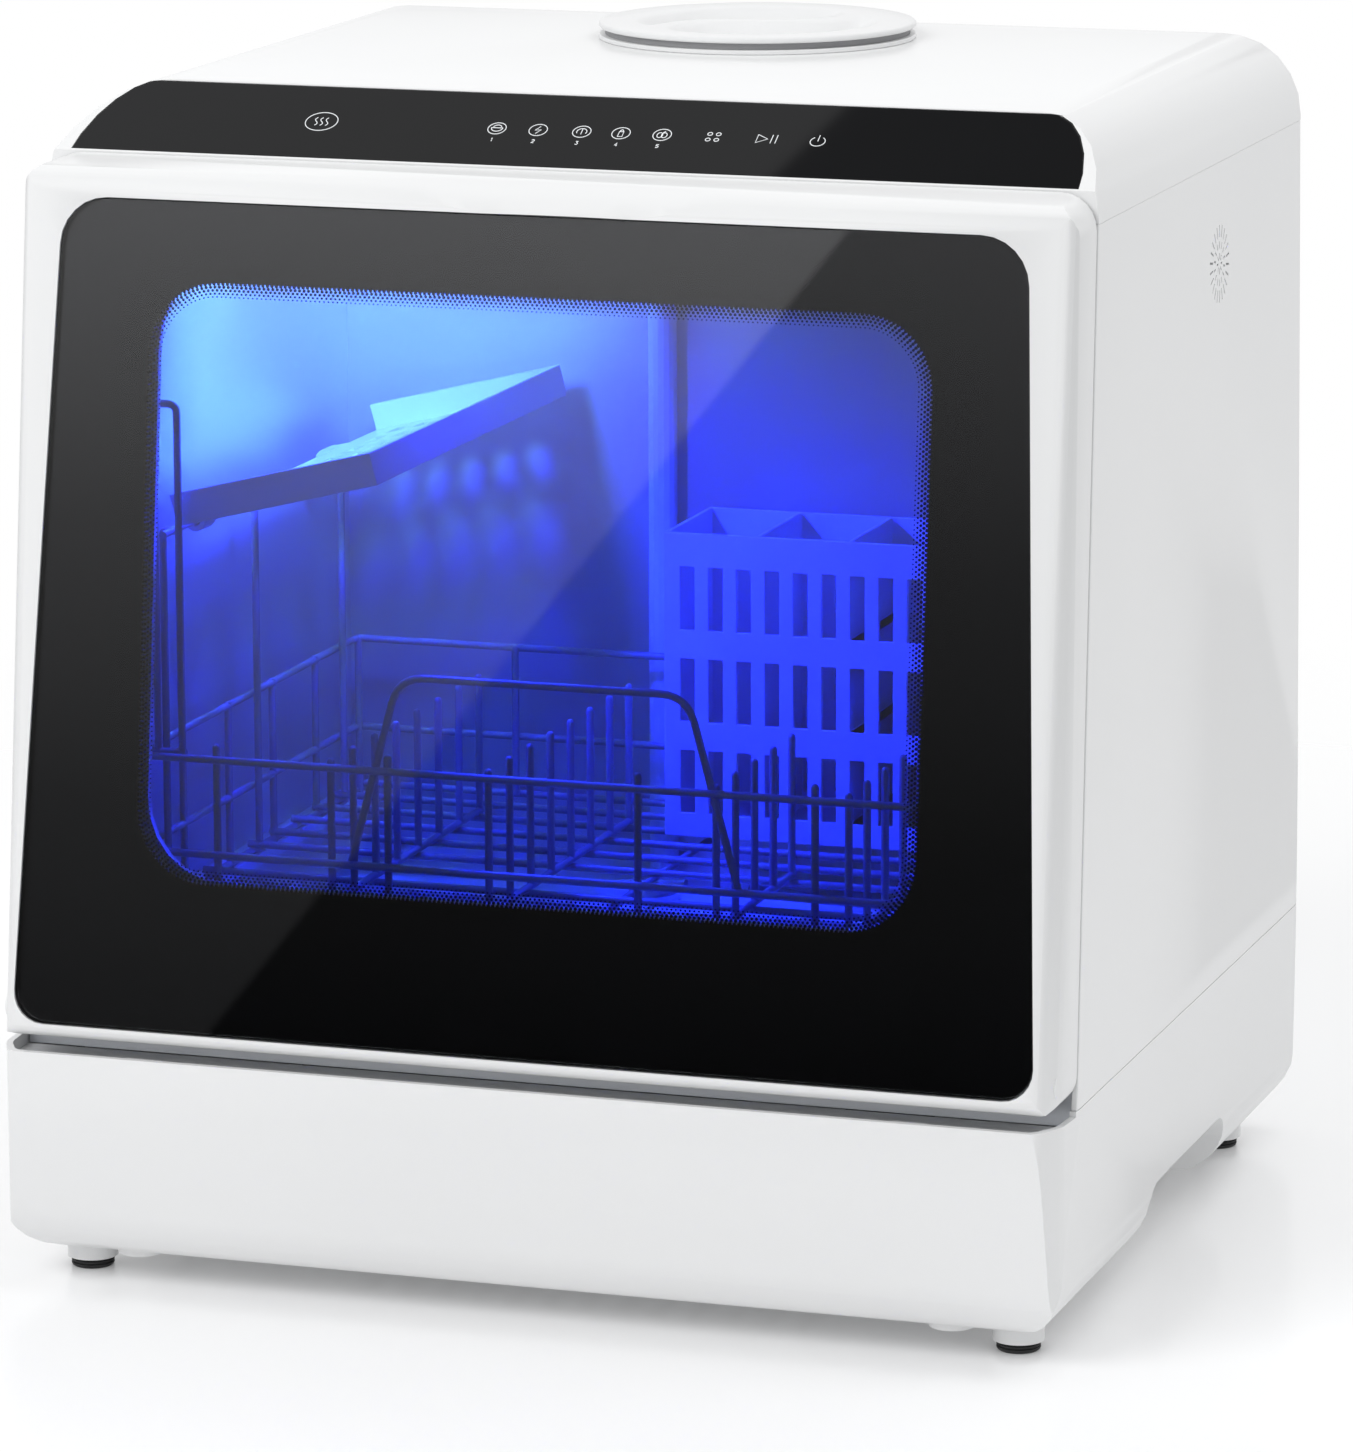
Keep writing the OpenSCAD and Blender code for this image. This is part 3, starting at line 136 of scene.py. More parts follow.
# Moulded plastic or rubber: colour drifts between two close tones and the grain lifts the surface.
def moulded(name, colour, rough, grain=900, depth=0.00002, drift=0.03, **extra):
    m, tree, shader = newMaterial(name)
    source = add(tree, "ShaderNodeGroup", node_tree=grainGroup)
    source.inputs["Scale"].default_value = grain
    tones = add(tree, "ShaderNodeValToRGB")
    tones.color_ramp.elements[0].position, tones.color_ramp.elements[1].position = 0.35, 0.65
    tones.color_ramp.elements[0].color = (*[c * (1 - drift) for c in colour], 1)
    tones.color_ramp.elements[1].color = (*[min(1, c * (1 + drift)) for c in colour], 1)
    roughRange = ranged(tree, 0, 1, rough * 0.9, min(1, rough * 1.12))
    bump = add(tree, "ShaderNodeBump", Strength=0.35, Distance=depth)
    tree.links.new(source.outputs["Mottle"], tones.inputs["Fac"])
    tree.links.new(tones.outputs["Color"], shader.inputs["Base Color"])
    tree.links.new(source.outputs["Height"], roughRange.inputs["Value"])
    tree.links.new(roughRange.outputs["Result"], shader.inputs["Roughness"])
    tree.links.new(source.outputs["Height"], bump.inputs["Height"])
    tree.links.new(bump.outputs["Normal"], shader.inputs["Normal"])
    for key, value in extra.items():
        shader.inputs[key.replace("_", " ")].default_value = value
    return m


# Brushed or pressed steel: streaks stretched along one axis.
def brushed(name, colour, rough, stretch=(1, 60, 1), metal=1.0):
    m, tree, shader = newMaterial(name)
    place = add(tree, "ShaderNodeTexCoord")
    mapping = add(tree, "ShaderNodeMapping")
    mapping.inputs["Scale"].default_value = stretch
    streak = add(tree, "ShaderNodeTexNoise", Scale=90.0, Detail=4.0, Roughness=0.6)
    tones = add(tree, "ShaderNodeValToRGB")
    tones.color_ramp.elements[0].color = (*[c * 0.95 for c in colour], 1)
    tones.color_ramp.elements[1].color = (*colour, 1)
    roughRange = ranged(tree, 0, 1, rough * 0.75, rough * 1.25)
    bump = add(tree, "ShaderNodeBump", Strength=0.12, Distance=0.00005)
    tree.links.new(place.outputs["Object"], mapping.inputs["Vector"])
    tree.links.new(mapping.outputs["Vector"], streak.inputs["Vector"])
    tree.links.new(streak.outputs["Fac"], tones.inputs["Fac"])
    tree.links.new(tones.outputs["Color"], shader.inputs["Base Color"])
    tree.links.new(streak.outputs["Fac"], roughRange.inputs["Value"])
    tree.links.new(roughRange.outputs["Result"], shader.inputs["Roughness"])
    tree.links.new(streak.outputs["Fac"], bump.inputs["Height"])
    tree.links.new(bump.outputs["Normal"], shader.inputs["Normal"])
    shader.inputs["Metallic"].default_value = metal
    return m


# Clear glass with a faint waviness, tinted all through.
def clearGlass(name, colour, ior=1.45):
    m, tree, shader = newMaterial(name)
    place = add(tree, "ShaderNodeTexCoord")
    wave = add(tree, "ShaderNodeTexNoise", Scale=3.0, Detail=1.0)
    roughRange = ranged(tree, 0, 1, 0, 0.012)
    tree.links.new(place.outputs["Object"], wave.inputs["Vector"])
    tree.links.new(wave.outputs["Fac"], roughRange.inputs["Value"])
    tree.links.new(roughRange.outputs["Result"], shader.inputs["Roughness"])
    shader.inputs["Base Color"].default_value = (*colour, 1)
    shader.inputs["Transmission Weight"].default_value = 1.0
    shader.inputs["IOR"].default_value = ior
    return m


# A glowing surface: on the lamp lens it is a real lamp, on the panel marks the glow is painted light.
def lit(name, colour, strength):
    m, tree, shader = newMaterial(name)
    place = add(tree, "ShaderNodeTexCoord")
    cells = add(tree, "ShaderNodeTexNoise", Scale=220.0, Detail=1.0)
    tones = add(tree, "ShaderNodeValToRGB")
    tones.color_ramp.elements[0].color = (*[c * 0.9 for c in colour], 1)
    tones.color_ramp.elements[1].color = (*colour, 1)
    tree.links.new(place.outputs["Object"], cells.inputs["Vector"])
    tree.links.new(cells.outputs["Fac"], tones.inputs["Fac"])
    tree.links.new(tones.outputs["Color"], shader.inputs["Base Color"])
    tree.links.new(tones.outputs["Color"], shader.inputs["Emission Color"])
    shader.inputs["Emission Strength"].default_value = strength
    return m


materials = {
    "whiteShell": moulded("whiteShell", (0.84, 0.843, 0.845), 0.32, 1400, 0.00001, 0.006, Coat_Weight=0.2, Coat_Roughness=0.15),
    # The cap white is darker than the shell white as painted shade, to temper the strong light on the lid's top; the
    # sill plate shares it.
    "whiteCap": moulded("whiteCap", (0.8, 0.803, 0.806), 0.3, 1400, 0.00001, 0.008),
    "palePlastic": moulded("palePlastic", (0.72, 0.73, 0.74), 0.5),
    "blackPanel": moulded("blackPanel", (0.004, 0.0042, 0.005), 0.02, 600, 0.0, 0.1),
    "blackPrint": moulded("blackPrint", (0.002, 0.002, 0.0025), 0.8, 500, 0.000005, 0.1, Specular_IOR_Level=0.05),
    "doorGlass": clearGlass("doorGlass", (0.68, 0.7, 0.76)),
    # The inner pane's strong blue tint is painted light: it stands in for the blue light inside the tub.
    "paintedBlueLightPane": clearGlass("paintedBlueLightPane", (0.55, 0.64, 1.0)),
    "tubSteel": brushed("tubSteel", (0.6, 0.62, 0.66), 0.4, (1, 1, 12), 0.85),
    "brightSteel": brushed("brightSteel", (0.7, 0.7, 0.7), 0.22, (1, 1, 50)),
    "rackCoat": moulded("rackCoat", (0.2, 0.22, 0.27), 0.3, 700, 0.00002, 0.06, Coat_Weight=0.4),
    "shelfPlastic": moulded("shelfPlastic", (0.62, 0.68, 0.78), 0.35, 900, 0.00002, 0.02),
    "pumpPlastic": moulded("pumpPlastic", (0.045, 0.045, 0.048), 0.5),
    "bowlPlastic": moulded("bowlPlastic", (0.2, 0.205, 0.215), 0.45),
    "boardGreen": moulded("boardGreen", (0.02, 0.11, 0.045), 0.4, 2000, 0.00003, 0.1),
    "tankPlastic": moulded("tankPlastic", (0.78, 0.83, 0.86), 0.4),
    "valveBlue": moulded("valveBlue", (0.02, 0.07, 0.3), 0.45),
    "hoseRubber": moulded("hoseRubber", (0.09, 0.093, 0.1), 0.6, 600, 0.00005, 0.08),
    "sealRubber": moulded("sealRubber", (0.05, 0.05, 0.055), 0.65, 1200, 0.00004, 0.1),
    "paleSeal": moulded("paleSeal", (0.3, 0.3, 0.31), 0.55, 1200, 0.00003, 0.06),
    "footRubber": moulded("footRubber", (0.015, 0.015, 0.016), 0.6, 1200, 0.00006, 0.12),
    "lampLens": lit("lampLens", (0.3, 0.72, 1.0), 6.0),
    # The panel marks are white print with a faint painted glow from emission.
    "markInkPaintedGlow": lit("markInkPaintedGlow", (0.78, 0.8, 0.82), 0.35),
    "inletWhite": moulded("inletWhite", (0.8, 0.8, 0.78), 0.4),
}
print("materials ready")


def addPiece(name, mesh, body, material, nodes=()):
    obj = bpy.data.objects.new(name, mesh)
    bpy.context.collection.objects.link(obj)
    mesh.materials.clear()
    mesh.materials.append(materials[material])
    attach(obj, body)
    if nodes:
        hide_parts(*nodes)
    return obj


def meshOf(name, bm, sharp=32):
    bmesh.ops.recalc_face_normals(bm, faces=bm.faces)
    mesh = bpy.data.meshes.new(name)
    bm.to_mesh(mesh)
    bm.free()
    mesh.shade_smooth()
    mesh.set_sharp_from_angle(angle=math.radians(sharp))
    return mesh


# A merged copy of a node's surface, with its flat stretches joined into single faces.
def cleanCopy(node):
    bm = bmesh.new()
    bm.from_mesh(frame["nodes"][node].data)
    bmesh.ops.remove_doubles(bm, verts=bm.verts, dist=0.000004)
    bmesh.ops.dissolve_limit(bm, angle_limit=math.radians(0.4), verts=bm.verts, edges=bm.edges)
    return bm


# Places whose small openings stay crisp while the edges round them are beveled: a centre and a radius.
crisp = {"side_panel_right": ((0.21, 0.056, 0.387), 0.022)}


def softened(name, node, body, slotName, material, bevel=0.0005, segments=2, sharp=32):
    bm = cleanCopy(node)
    if node in crisp:
        centre, radius = Vector(crisp[node][0]), crisp[node][1]
        weight = bm.edges.layers.float.new("bevel_weight_edge")
        for e in bm.edges:
            middle = (e.verts[0].co + e.verts[1].co) / 2
            turned = e.is_manifold and e.calc_face_angle() > math.radians(sharp)
            e[weight] = 1.0 if turned and (middle - centre).length > radius else 0.0
    obj = addPiece(name, meshOf(name, bm, sharp), body, material, [node])
    mod = obj.modifiers.new("edge", "BEVEL")
    mod.width, mod.segments, mod.angle_limit = bevel, segments, math.radians(sharp)
    mod.limit_method = "WEIGHT" if node in crisp else "ANGLE"
    mod.harden_normals = True
    return obj


def bodyOfNode(node):
    for body, nodes in frame["record"]["behaviour"]["bodies"].items():
        if node in nodes:
            return body


def slotOfNode(node):
    for entry in frame["record"]["subparts"]:
        if entry["node"] == node:
            return entry["material_slot"]


shells = {
    "base_housing": ("baseShell", "whiteShell", 0.0009, 3),
    "side_panel_left": ("sideShellLeft", "whiteShell", 0.0007, 2),
    "side_panel_right": ("sideShellRight", "whiteShell", 0.0007, 2),
    "back_panel": ("backShell", "whiteShell", 0.0005, 2),
    "top_cover": ("topShell", "whiteShell", 0.0006, 3),
    "door_frame": ("doorShell", "whiteShell", 0.0008, 3, 42),
    "door_glass": ("doorPane", "doorGlass", 0.0006, 3),
    "control_glass": ("controlPane", "blackPanel", 0.0006, 3, 20),
    "filler_neck": ("neckRing", "whiteShell", 0.0005, 2),
    "tub": ("tubLining", "tubSteel", 0.001, 2),
    "door_liner": ("doorLining", "palePlastic", 0.0008, 2),
    "cup_shelf": ("cupTray", "shelfPlastic", 0.0006, 2),
    "cutlery_basket": ("basketShell", "shelfPlastic", 0.0005, 2),
    "lower_spray_arm": ("lowerArmShell", "shelfPlastic", 0.0018, 3),
    "upper_spray_arm": ("upperArmShell", "shelfPlastic", 0.0018, 3),
    "sill_plate": ("sillShell", "whiteCap", 0.0004, 2),
    "filter_cup": ("filterShell", "shelfPlastic", 0.0004, 2),
}
for node, (name, material, *edge) in shells.items():
    softened(name, node, bodyOfNode(node), slotOfNode(node), material, *edge)
print("shells made")

rack = {"half": 0.172, "front": -0.142, "rear": 0.102, "floor": 0.1425, "mid": 0.167, "high": 0.205, "wire": 0.0016,
        "posts": (-0.139, -0.068, 0.034, 0.105), "rearPosts": (-0.1, 0, 0.1), "behind": 0.0027, "bend": 0.004,
        "cornerIn": 0.0012, "postRise": 0.006, "tine": 0.0576}
hoop = {"middle": -0.004, "foot": 0.0794, "half": 0.0604, "top": 0.2424, "shoulder": 0.2345, "bend": 0.011}
tineRows = {-0.09976: 8, -0.0344: 8, 0.05848: 5, 0.1118: 5}
shelfWires = {"post": -0.1688, "hinge": -0.1648, "height": 0.29, "bend": 0.002, "loopY": -0.133,
              "loop": (-0.1658, -0.1558), "loopTop": 0.343, "loopBend": 0.004}


def rackY(k):
    return rack["front"] + (rack["rear"] - rack["front"]) * k / 10


# Rounds the corners of a wire's route.
def bent(points, bend, closed=False):
    points = [Vector(p) for p in points]
    if closed:
        corners = [(points[i - 1], points[i], points[(i + 1) % len(points)]) for i in range(len(points))]
        path = []
    else:
        corners = list(zip(points, points[1:], points[2:]))
        path = [points[0]]
    for before, corner, after in corners:
        start, end = ((p - corner).normalized() * bend + corner for p in (before, after))
        path += [start.lerp(corner, t / 6).lerp(corner.lerp(end, t / 6), t / 6) for t in range(7)]
    return path if closed else path + [points[-1]]


# One mesh of round wires: each is a list of points, and a point may carry a thickness factor for a rounded tip.
def wirePiece(name, wires, radius, body, material, nodes):
    curve = bpy.data.curves.new(name, "CURVE")
    curve.dimensions, curve.bevel_depth, curve.bevel_resolution, curve.use_fill_caps = "3D", radius, 2, True
    for path, closed, tip in wires:
        places = [(Vector(p), 1.0) for p in path]
        if tip:
            end = places.pop()[0]
            along = (end - places[-1][0]).normalized() * radius
            places += [(end - along, 1.0), (end - along * 0.45, 0.86), (end - along * 0.12, 0.52), (end, 0.15)]
        spline = curve.splines.new("POLY")
        spline.points.add(len(places) - 1)
        spline.use_cyclic_u = closed
        for point, (place, thick) in zip(spline.points, places):
            point.co = (*place, 1)
            point.radius = thick
    drawn = bpy.data.objects.new(name, curve)
    bm = bmesh.new()
    bm.from_mesh(bpy.data.meshes.new_from_object(drawn))
    bpy.data.objects.remove(drawn)
    bmesh.ops.remove_doubles(bm, verts=bm.verts, dist=0.000002)
    return addPiece(name, meshOf(name, bm, 50), body, material, nodes)


def plain(*points):
    return (points, False, False)


def tipped(*points):
    return (points, False, True)


def rackWires():
    h, y0, y1, z = rack["half"], rack["front"], rack["rear"], rack["floor"]
    low, out = z - 1.8 * rack["wire"], rack["wire"]
    wires = [plain((-h - out, rackY(k), z), (h + out, rackY(k), z)) for k in range(11)]
    wires += [plain((x, y0 - out, low), (x, y1 + out, low)) for x in (-h, 0, h)]
    for level in (rack["mid"], rack["high"]):
        ring = [(-h, y0, level), (h, y0, level), (h, y1, level), (-h, y1, level)]
        wires.append((bent(ring, rack["bend"], True), True, False))
    wires += [plain((x, rackY(k), low - out), (x, rackY(k), rack["high"] + out)) for x in (-h, h) for k in (2, 4, 6, 8)]
    inner = rack["cornerIn"]
    wires += [tipped((x, y, low - out), (x, y, rack["high"] + out))
              for x in (inner - h, h - inner) for y in (y0 + inner, y1 - inner)]
    postTop = rack["high"] + rack["postRise"]
    wires += [tipped((x, y0 + rack["behind"], z), (x, y0 + rack["behind"], postTop)) for x in rack["posts"]]
    wires += [tipped((x, y1 - rack["behind"], z), (x, y1 - rack["behind"], rack["high"] + out)) for x in rack["rearPosts"]]
    m, y = hoop["middle"], y0 + rack["behind"] * 0.5
    ends = [Vector((m + side * hoop["foot"], y, rack["mid"] - out)) for side in (-1, 1)]
    corners = [end.lerp(Vector((m + side * hoop["half"], y, hoop["shoulder"])), 1.1) for side, end in zip((-1, 1), ends)]
    corners[0].z = corners[1].z = hoop["top"]
    wires.append((bent([ends[0], *corners, ends[1]], hoop["bend"]), False, False))
    return wires


def tineWires():
    row = rack["floor"] + 2 * rack["wire"]
    wires = []
    for x, count in tineRows.items():
        wires.append(plain((x, rackY(1) - 0.003, row), (x, rackY(count) + 0.003, row)))
        wires += [tipped((x, rackY(k), row), (x, rackY(k), row + rack["tine"])) for k in range(1, count + 1)]
    return wires


def shelfWireSet():
    p, x, z, low = shelfWires["post"], shelfWires["hinge"], shelfWires["height"], rack["floor"] + rack["wire"]
    routes = [[(p, rackY(k), low), (p, rackY(k), z), (x + 0.001, rackY(k), z)] for k in (1, 5, 9)]
    wires = [(bent(route, shelfWires["bend"]), False, False) for route in routes]
    wires.append(plain((x, rackY(0.6), z), (x, rackY(9.4), z)))
    return wires


def loopWires():
    (x0, x1), y, low, high = shelfWires["loop"], shelfWires["loopY"], rack["high"], shelfWires["loopTop"]
    foot = low - rack["wire"]
    loop = bent([(x0, y, foot), (x0, y, high), (x1, y, high), (x1, y, foot)], shelfWires["loopBend"])
    return [(loop, False, False), plain((shelfWires["post"] - rack["wire"], y, low), (x1 + rack["wire"], y, low))]


for name, wires, node in (("rackBasketWires", rackWires(), "wire_rack"), ("plateTineWires", tineWires(), "plate_tines"),
                          ("shelfFrameWires", shelfWireSet(), "shelf_frame"), ("shelfLoopWires", loopWires(), "shelf_loop")):
    wirePiece(name, wires, rack["wire"], bodyOfNode(node), "rackCoat", [node])
print("rack wires made")

lid = {"y": 0.118, "top": 0.47, "radius": 0.065, "disc": 0.0024, "plug": 0.0518, "plugLow": 0.4546, "dish": 0.0494,
       "deep": 0.0118, "grip": 0.0036, "slope": 0.015, "wave": 0.012, "turn": math.radians(50), "steps": 128,
       "gripPoints": 48, "dishRings": 34}


# Closest distance from a place in the lid's plan to the S line of its grip.
def toGrip(x, y):
    c, s = math.cos(-lid["turn"]), math.sin(-lid["turn"])
    u, v = c * x - s * y, s * x + c * y
    reach, shares = lid["dish"] * 0.98, [t / lid["gripPoints"] for t in range(lid["gripPoints"] + 1)]
    return min(math.hypot(u - reach * (2 * t - 1), v - lid["wave"] * math.sin(2 * math.pi * t)) for t in shares)


def smooth(t):
    t = max(0.0, min(1.0, t))
    return t * t * (3 - 2 * t)


def makeLid():
    r, top = lid["radius"], lid["top"]
    under = top - lid["disc"]
    plug, low = lid["plug"], lid["plugLow"]
    profile = [(0, low), (plug - 0.002, low), (plug, low + 0.002), (plug, under), (r - 0.0005, under),
               (r, under + 0.0005), (r, top - 0.0009), (r - 0.0004, top - 0.0003), (r - 0.001, top),
               (lid["dish"] + 0.0035, top - 0.0001)]
    profile += [(lid["dish"] * (1 - k / lid["dishRings"]), top - 0.0002) for k in range(lid["dishRings"] + 1)]
    bm = bmesh.new()
    verts = [bm.verts.new((x, 0, z)) for x, z in profile]
    edges = [bm.edges.new(pair) for pair in zip(verts, verts[1:])]
    bmesh.ops.spin(bm, geom=verts + edges, cent=(0, 0, 0), axis=(0, 0, 1), angle=2 * math.pi, steps=lid["steps"],
                   use_merge=True)
    bmesh.ops.remove_doubles(bm, verts=bm.verts, dist=0.000002)
    for v in bm.verts:
        if v.co.z > under + 0.001 and math.hypot(v.co.x, v.co.y) < lid["dish"] + 0.0001:
            edge = smooth((lid["dish"] + 0.0006 - math.hypot(v.co.x, v.co.y)) / lid["slope"])
            v.co.z -= lid["deep"] * edge * smooth((toGrip(v.co.x, v.co.y) - lid["grip"]) / lid["slope"])
    bmesh.ops.translate(bm, verts=bm.verts, vec=(0, lid["y"], 0))
    # The lid takes the cap white with its painted shade.
    addPiece("fillLidShell", meshOf("fillLidShell", bm, 40), bodyOfNode("fill_lid"), "whiteCap", ["fill_lid"])


makeLid()

foot = {"x": 0.19, "y": 0.154, "radius": 0.0085, "height": 0.004, "ribs": 2, "groove": 0.0006, "rib": 0.0013, "steps": 48}


def makeFeet():
    bm = bmesh.new()
    r, h, g = foot["radius"], foot["height"], foot["groove"]
    profile = [(0, 0.0003), (r - 0.003, 0.0003), (r - 0.0022, 0), (r - 0.0008, 0), (r - 0.0002, 0.0005)]
    for k in range(foot["ribs"]):
        low = 0.001 + k * foot["rib"]
        profile += [(r, low), (r, low + 0.0005), (r - g, low + 0.0007), (r - g, low + 0.0011)]
    profile += [(r, h - 0.0004), (r - 0.0005, h), (0, h)]
    for x in (-foot["x"], foot["x"]):
        for y in (-foot["y"], foot["y"]):
            verts = [bm.verts.new((x + px, y, pz)) for px, pz in profile]
            edges = [bm.edges.new(pair) for pair in zip(verts, verts[1:])]
            bmesh.ops.spin(bm, geom=verts + edges, cent=(x, y, 0), axis=(0, 0, 1), angle=2 * math.pi, steps=foot["steps"],
                           use_merge=True)
    bmesh.ops.remove_doubles(bm, verts=bm.verts, dist=0.000002)
    addPiece("ribbedFeet", meshOf("ribbedFeet", bm, 30), bodyOfNode("foot_pads"), "footRubber", ["foot_pads"])


makeFeet()

# The printed border lies a hair behind the pane, so that the two faces don't share one plane.
def makePrint(hair=0.00006):
    bm = cleanCopy("glass_print")
    away = Vector((0, math.cos(casing["lean"]), -math.sin(casing["lean"]))) * hair
    bmesh.ops.translate(bm, verts=bm.verts, vec=away)
    mesh = meshOf("printBorder", bm)
    addPiece("printBorder", mesh, bodyOfNode("glass_print"), "blackPrint", ["glass_print"])


makePrint()

# Staggered rows of dots round the window, which get smaller inwards.
dots = {"half": 0.1565, "low": 0.1645, "high": 0.395, "round": 0.028, "pitch": 0.00182, "row": 0.00125, "start": 0.0003,
        "sizes": (0.00146, 0.00134, 0.00116, 0.00092, 0.00064), "depth": 0.00412, "thick": 0.00008}


# Evenly spaced places on a rounded rectangle in X and Z.
def windowPlaces(inset, pitch, shift):
    x, low, high, r = dots["half"] - inset, dots["low"] + inset, dots["high"] - inset, dots["round"] - inset
    line = []
    for cx, cz, start in ((x - r, high - r, 0), (r - x, high - r, 90), (r - x, low + r, 180), (x - r, low + r, 270)):
        angles = [math.radians(start + a) for a in range(0, 91, 5)]
        line += [Vector((cx + r * math.cos(a), 0, cz + r * math.sin(a))) for a in angles]
    line.append(line[0])
    total = sum((b - a).length for a, b in zip(line, line[1:]))
    count = round(total / pitch)
    step, walked, places = total / count, 0.0, []
    wanted = step * shift
    for a, b in zip(line, line[1:]):
        length = (b - a).length
        while wanted < walked + length and len(places) < count:
            places.append(a.lerp(b, (wanted - walked) / length))
            wanted += step
        walked += length
    return places


def makeDots():
    bm = bmesh.new()
    tilt = Matrix.Rotation(math.pi / 2 - casing["lean"], 4, "X")
    for i, size in enumerate(dots["sizes"]):
        for place in windowPlaces(dots["start"] + i * dots["row"], dots["pitch"], 0.5 * (i % 2)):
            place.y = faceY(place.z) + dots["depth"]
            spot = Matrix.Translation(place) @ tilt
            bmesh.ops.create_circle(bm, cap_ends=True, radius=size / 2, segments=8, matrix=spot)
    obj = addPiece("windowDots", meshOf("windowDots", bm), bodyOfNode("glass_print"), "blackPrint")
    mod = obj.modifiers.new("ink", "SOLIDIFY")
    mod.thickness, mod.offset = dots["thick"], 0


makeDots()
print("window dots made")

marks = {"s": 0.0243, "line": 0.00017, "dry": -0.1057, "programs": (-0.0339, -0.0172, 0.0004, 0.0162, 0.0327), "delay": 0.0531,
         "startPause": 0.0744, "power": 0.0946, "ring": 0.0036, "numberDrop": 0.0072}
slopeY = faceY(panel["low"]) + panel["room"]
slopeAngle = math.atan2(panel["high"] - panel["low"], casing["front"] + panel["backEdge"] - slopeY)


def onPanel(x, s, lift=0.00005):
    return Vector((x, slopeY + s * math.cos(slopeAngle) - lift * math.sin(slopeAngle),
                   panel["low"] + s * math.sin(slopeAngle) + lift * math.cos(slopeAngle)))


def arc(cx, cs, rx, rs, start, end, steps=28):
    angles = [math.radians(start + (end - start) * k / steps) for k in range(steps + 1)]
    return [(cx + rx * math.cos(a), cs + rs * math.sin(a)) for a in angles]


# Strokes of the numerals 1 to 5 in a box 1 wide and 2 high.
numerals = [
    [[(0.2, 1.6), (0.55, 2), (0.55, 0)]],
    [[(0, 1.6), (0.15, 1.9), (0.5, 2), (0.85, 1.9), (1, 1.5), (0.8, 1.1), (0, 0), (1, 0)]],
    [[(0, 2), (1, 2), (0.45, 1.25), (0.85, 1.05), (1, 0.6), (0.8, 0.15), (0.45, 0), (0, 0.2)]],
    [[(0.75, 0), (0.75, 2), (0, 0.6), (1.05, 0.6)]],
    [[(1, 2), (0.1, 2), (0, 1.1), (0.55, 1.25), (1, 0.9), (0.95, 0.35), (0.5, 0), (0, 0.15)]],
]


def panelStrokes():
    s, ring = marks["s"], marks["ring"]
    mm = 0.001
    strokes = [arc(marks["dry"], s, 6.5 * mm, 5.8 * mm, 0, 360, 48)]
    for dx in (-2.2 * mm, 0, 2.2 * mm):
        strokes.append([(marks["dry"] + dx + 0.7 * mm * math.sin(k * math.pi / 5), s + (k - 5) * 0.5 * mm) for k in range(11)])
    inside = [
        [arc(0, 0.4, 2.3, 2.2, 180, 360, 14), [(-2.3, 0.4), (2.3, 0.4)], arc(0, 0.9, 1.6, 1.3, 0, 180, 10)],
        [[(0.5, 2.3), (-1.2, -0.2), (1.2, 0.2), (-0.5, -2.3)]],
        [arc(0, 0, 2, 2, -30, 210, 14), [(0, 2), (0, -1.6)]],
        [[(-0.9, 1), (-0.9, -2.1), (0.9, -2.1), (0.9, 1), (-0.9, 1)], arc(0, 1, 0.7, 1.2, 0, 180, 8)],
        [arc(-0.9, -0.2, 1.1, 1.6, 0, 360, 12), arc(0.9, -0.2, 1.1, 1.6, 0, 360, 12), [(0, 1.2), (0.8, 2.3)]],
    ]
    for number, (x, drawn) in enumerate(zip(marks["programs"], inside)):
        strokes.append(arc(x, s, ring, ring, 0, 360, 36))
        strokes += [[(x + px * mm, s + ps * mm) for px, ps in line] for line in drawn]
        under = s - marks["numberDrop"]
        strokes += [[(x + (px - 0.5) * mm, under + (ps - 1) * mm) for px, ps in line] for line in numerals[number]]
    for dx in (-1.7 * mm, 1.7 * mm):
        for ds in (-1.8 * mm, 1.8 * mm):
            strokes.append(arc(marks["delay"] + dx, s + ds, 0.95 * mm, 0.95 * mm, 0, 360, 16))
    x = marks["startPause"]
    start = (x - 3.9 * mm, s + 2.6 * mm)
    strokes.append([start, (x - 3.9 * mm, s - 2.6 * mm), (x + 0.4 * mm, s), start])
    strokes += [[(x + dx, s + 2.6 * mm), (x + dx, s - 2.6 * mm)] for dx in (1.9 * mm, 3.8 * mm)]
    strokes.append(arc(marks["power"], s - 0.3 * mm, 2.9 * mm, 2.9 * mm, 125, 415, 30))
    strokes.append([(marks["power"], s + 3.6 * mm), (marks["power"], s - 0.2 * mm)])
    return [([onPanel(*p) for p in line], False, False) for line in strokes]


# The marks use the print material that carries a faint painted glow.
wirePiece("panelMarks", panelStrokes(), marks["line"], bodyOfNode("control_glass"), "markInkPaintedGlow", [])
print("panel marks made")

finishes = {
    "black_panel": "blackPanel", "door_glass": "doorGlass", "clear_pane": "paintedBlueLightPane", "black_print": "blackPrint",
    "white_shell": "whiteShell", "white_cap": "whiteCap", "pale_plastic": "palePlastic", "tub_steel": "tubSteel",
    "bright_steel": "brightSteel", "rack_coat": "rackCoat", "shelf_plastic": "shelfPlastic", "pump_plastic": "pumpPlastic",
    "bowl_plastic": "bowlPlastic", "board_green": "boardGreen", "tank_plastic": "tankPlastic", "valve_blue": "valveBlue",
    "hose_rubber": "hoseRubber", "seal_rubber": "sealRubber", "foot_rubber": "footRubber", "lamp_lens": "lampLens",
    "inlet_white": "inletWhite",
}
for node, obj in frame["nodes"].items():
    for slot in obj.material_slots:
        slot.material = materials["paleSeal" if node == "lid_seal" else finishes[slotOfNode(node)]]


# Pale round floor that fades out towards its rim.
stand = {"radius": 1.5, "segments": 96, "fade": (0.45, 1.3), "colour": (0.93, 0.93, 0.935, 1), "rough": 0.16, "glow": 0.1}


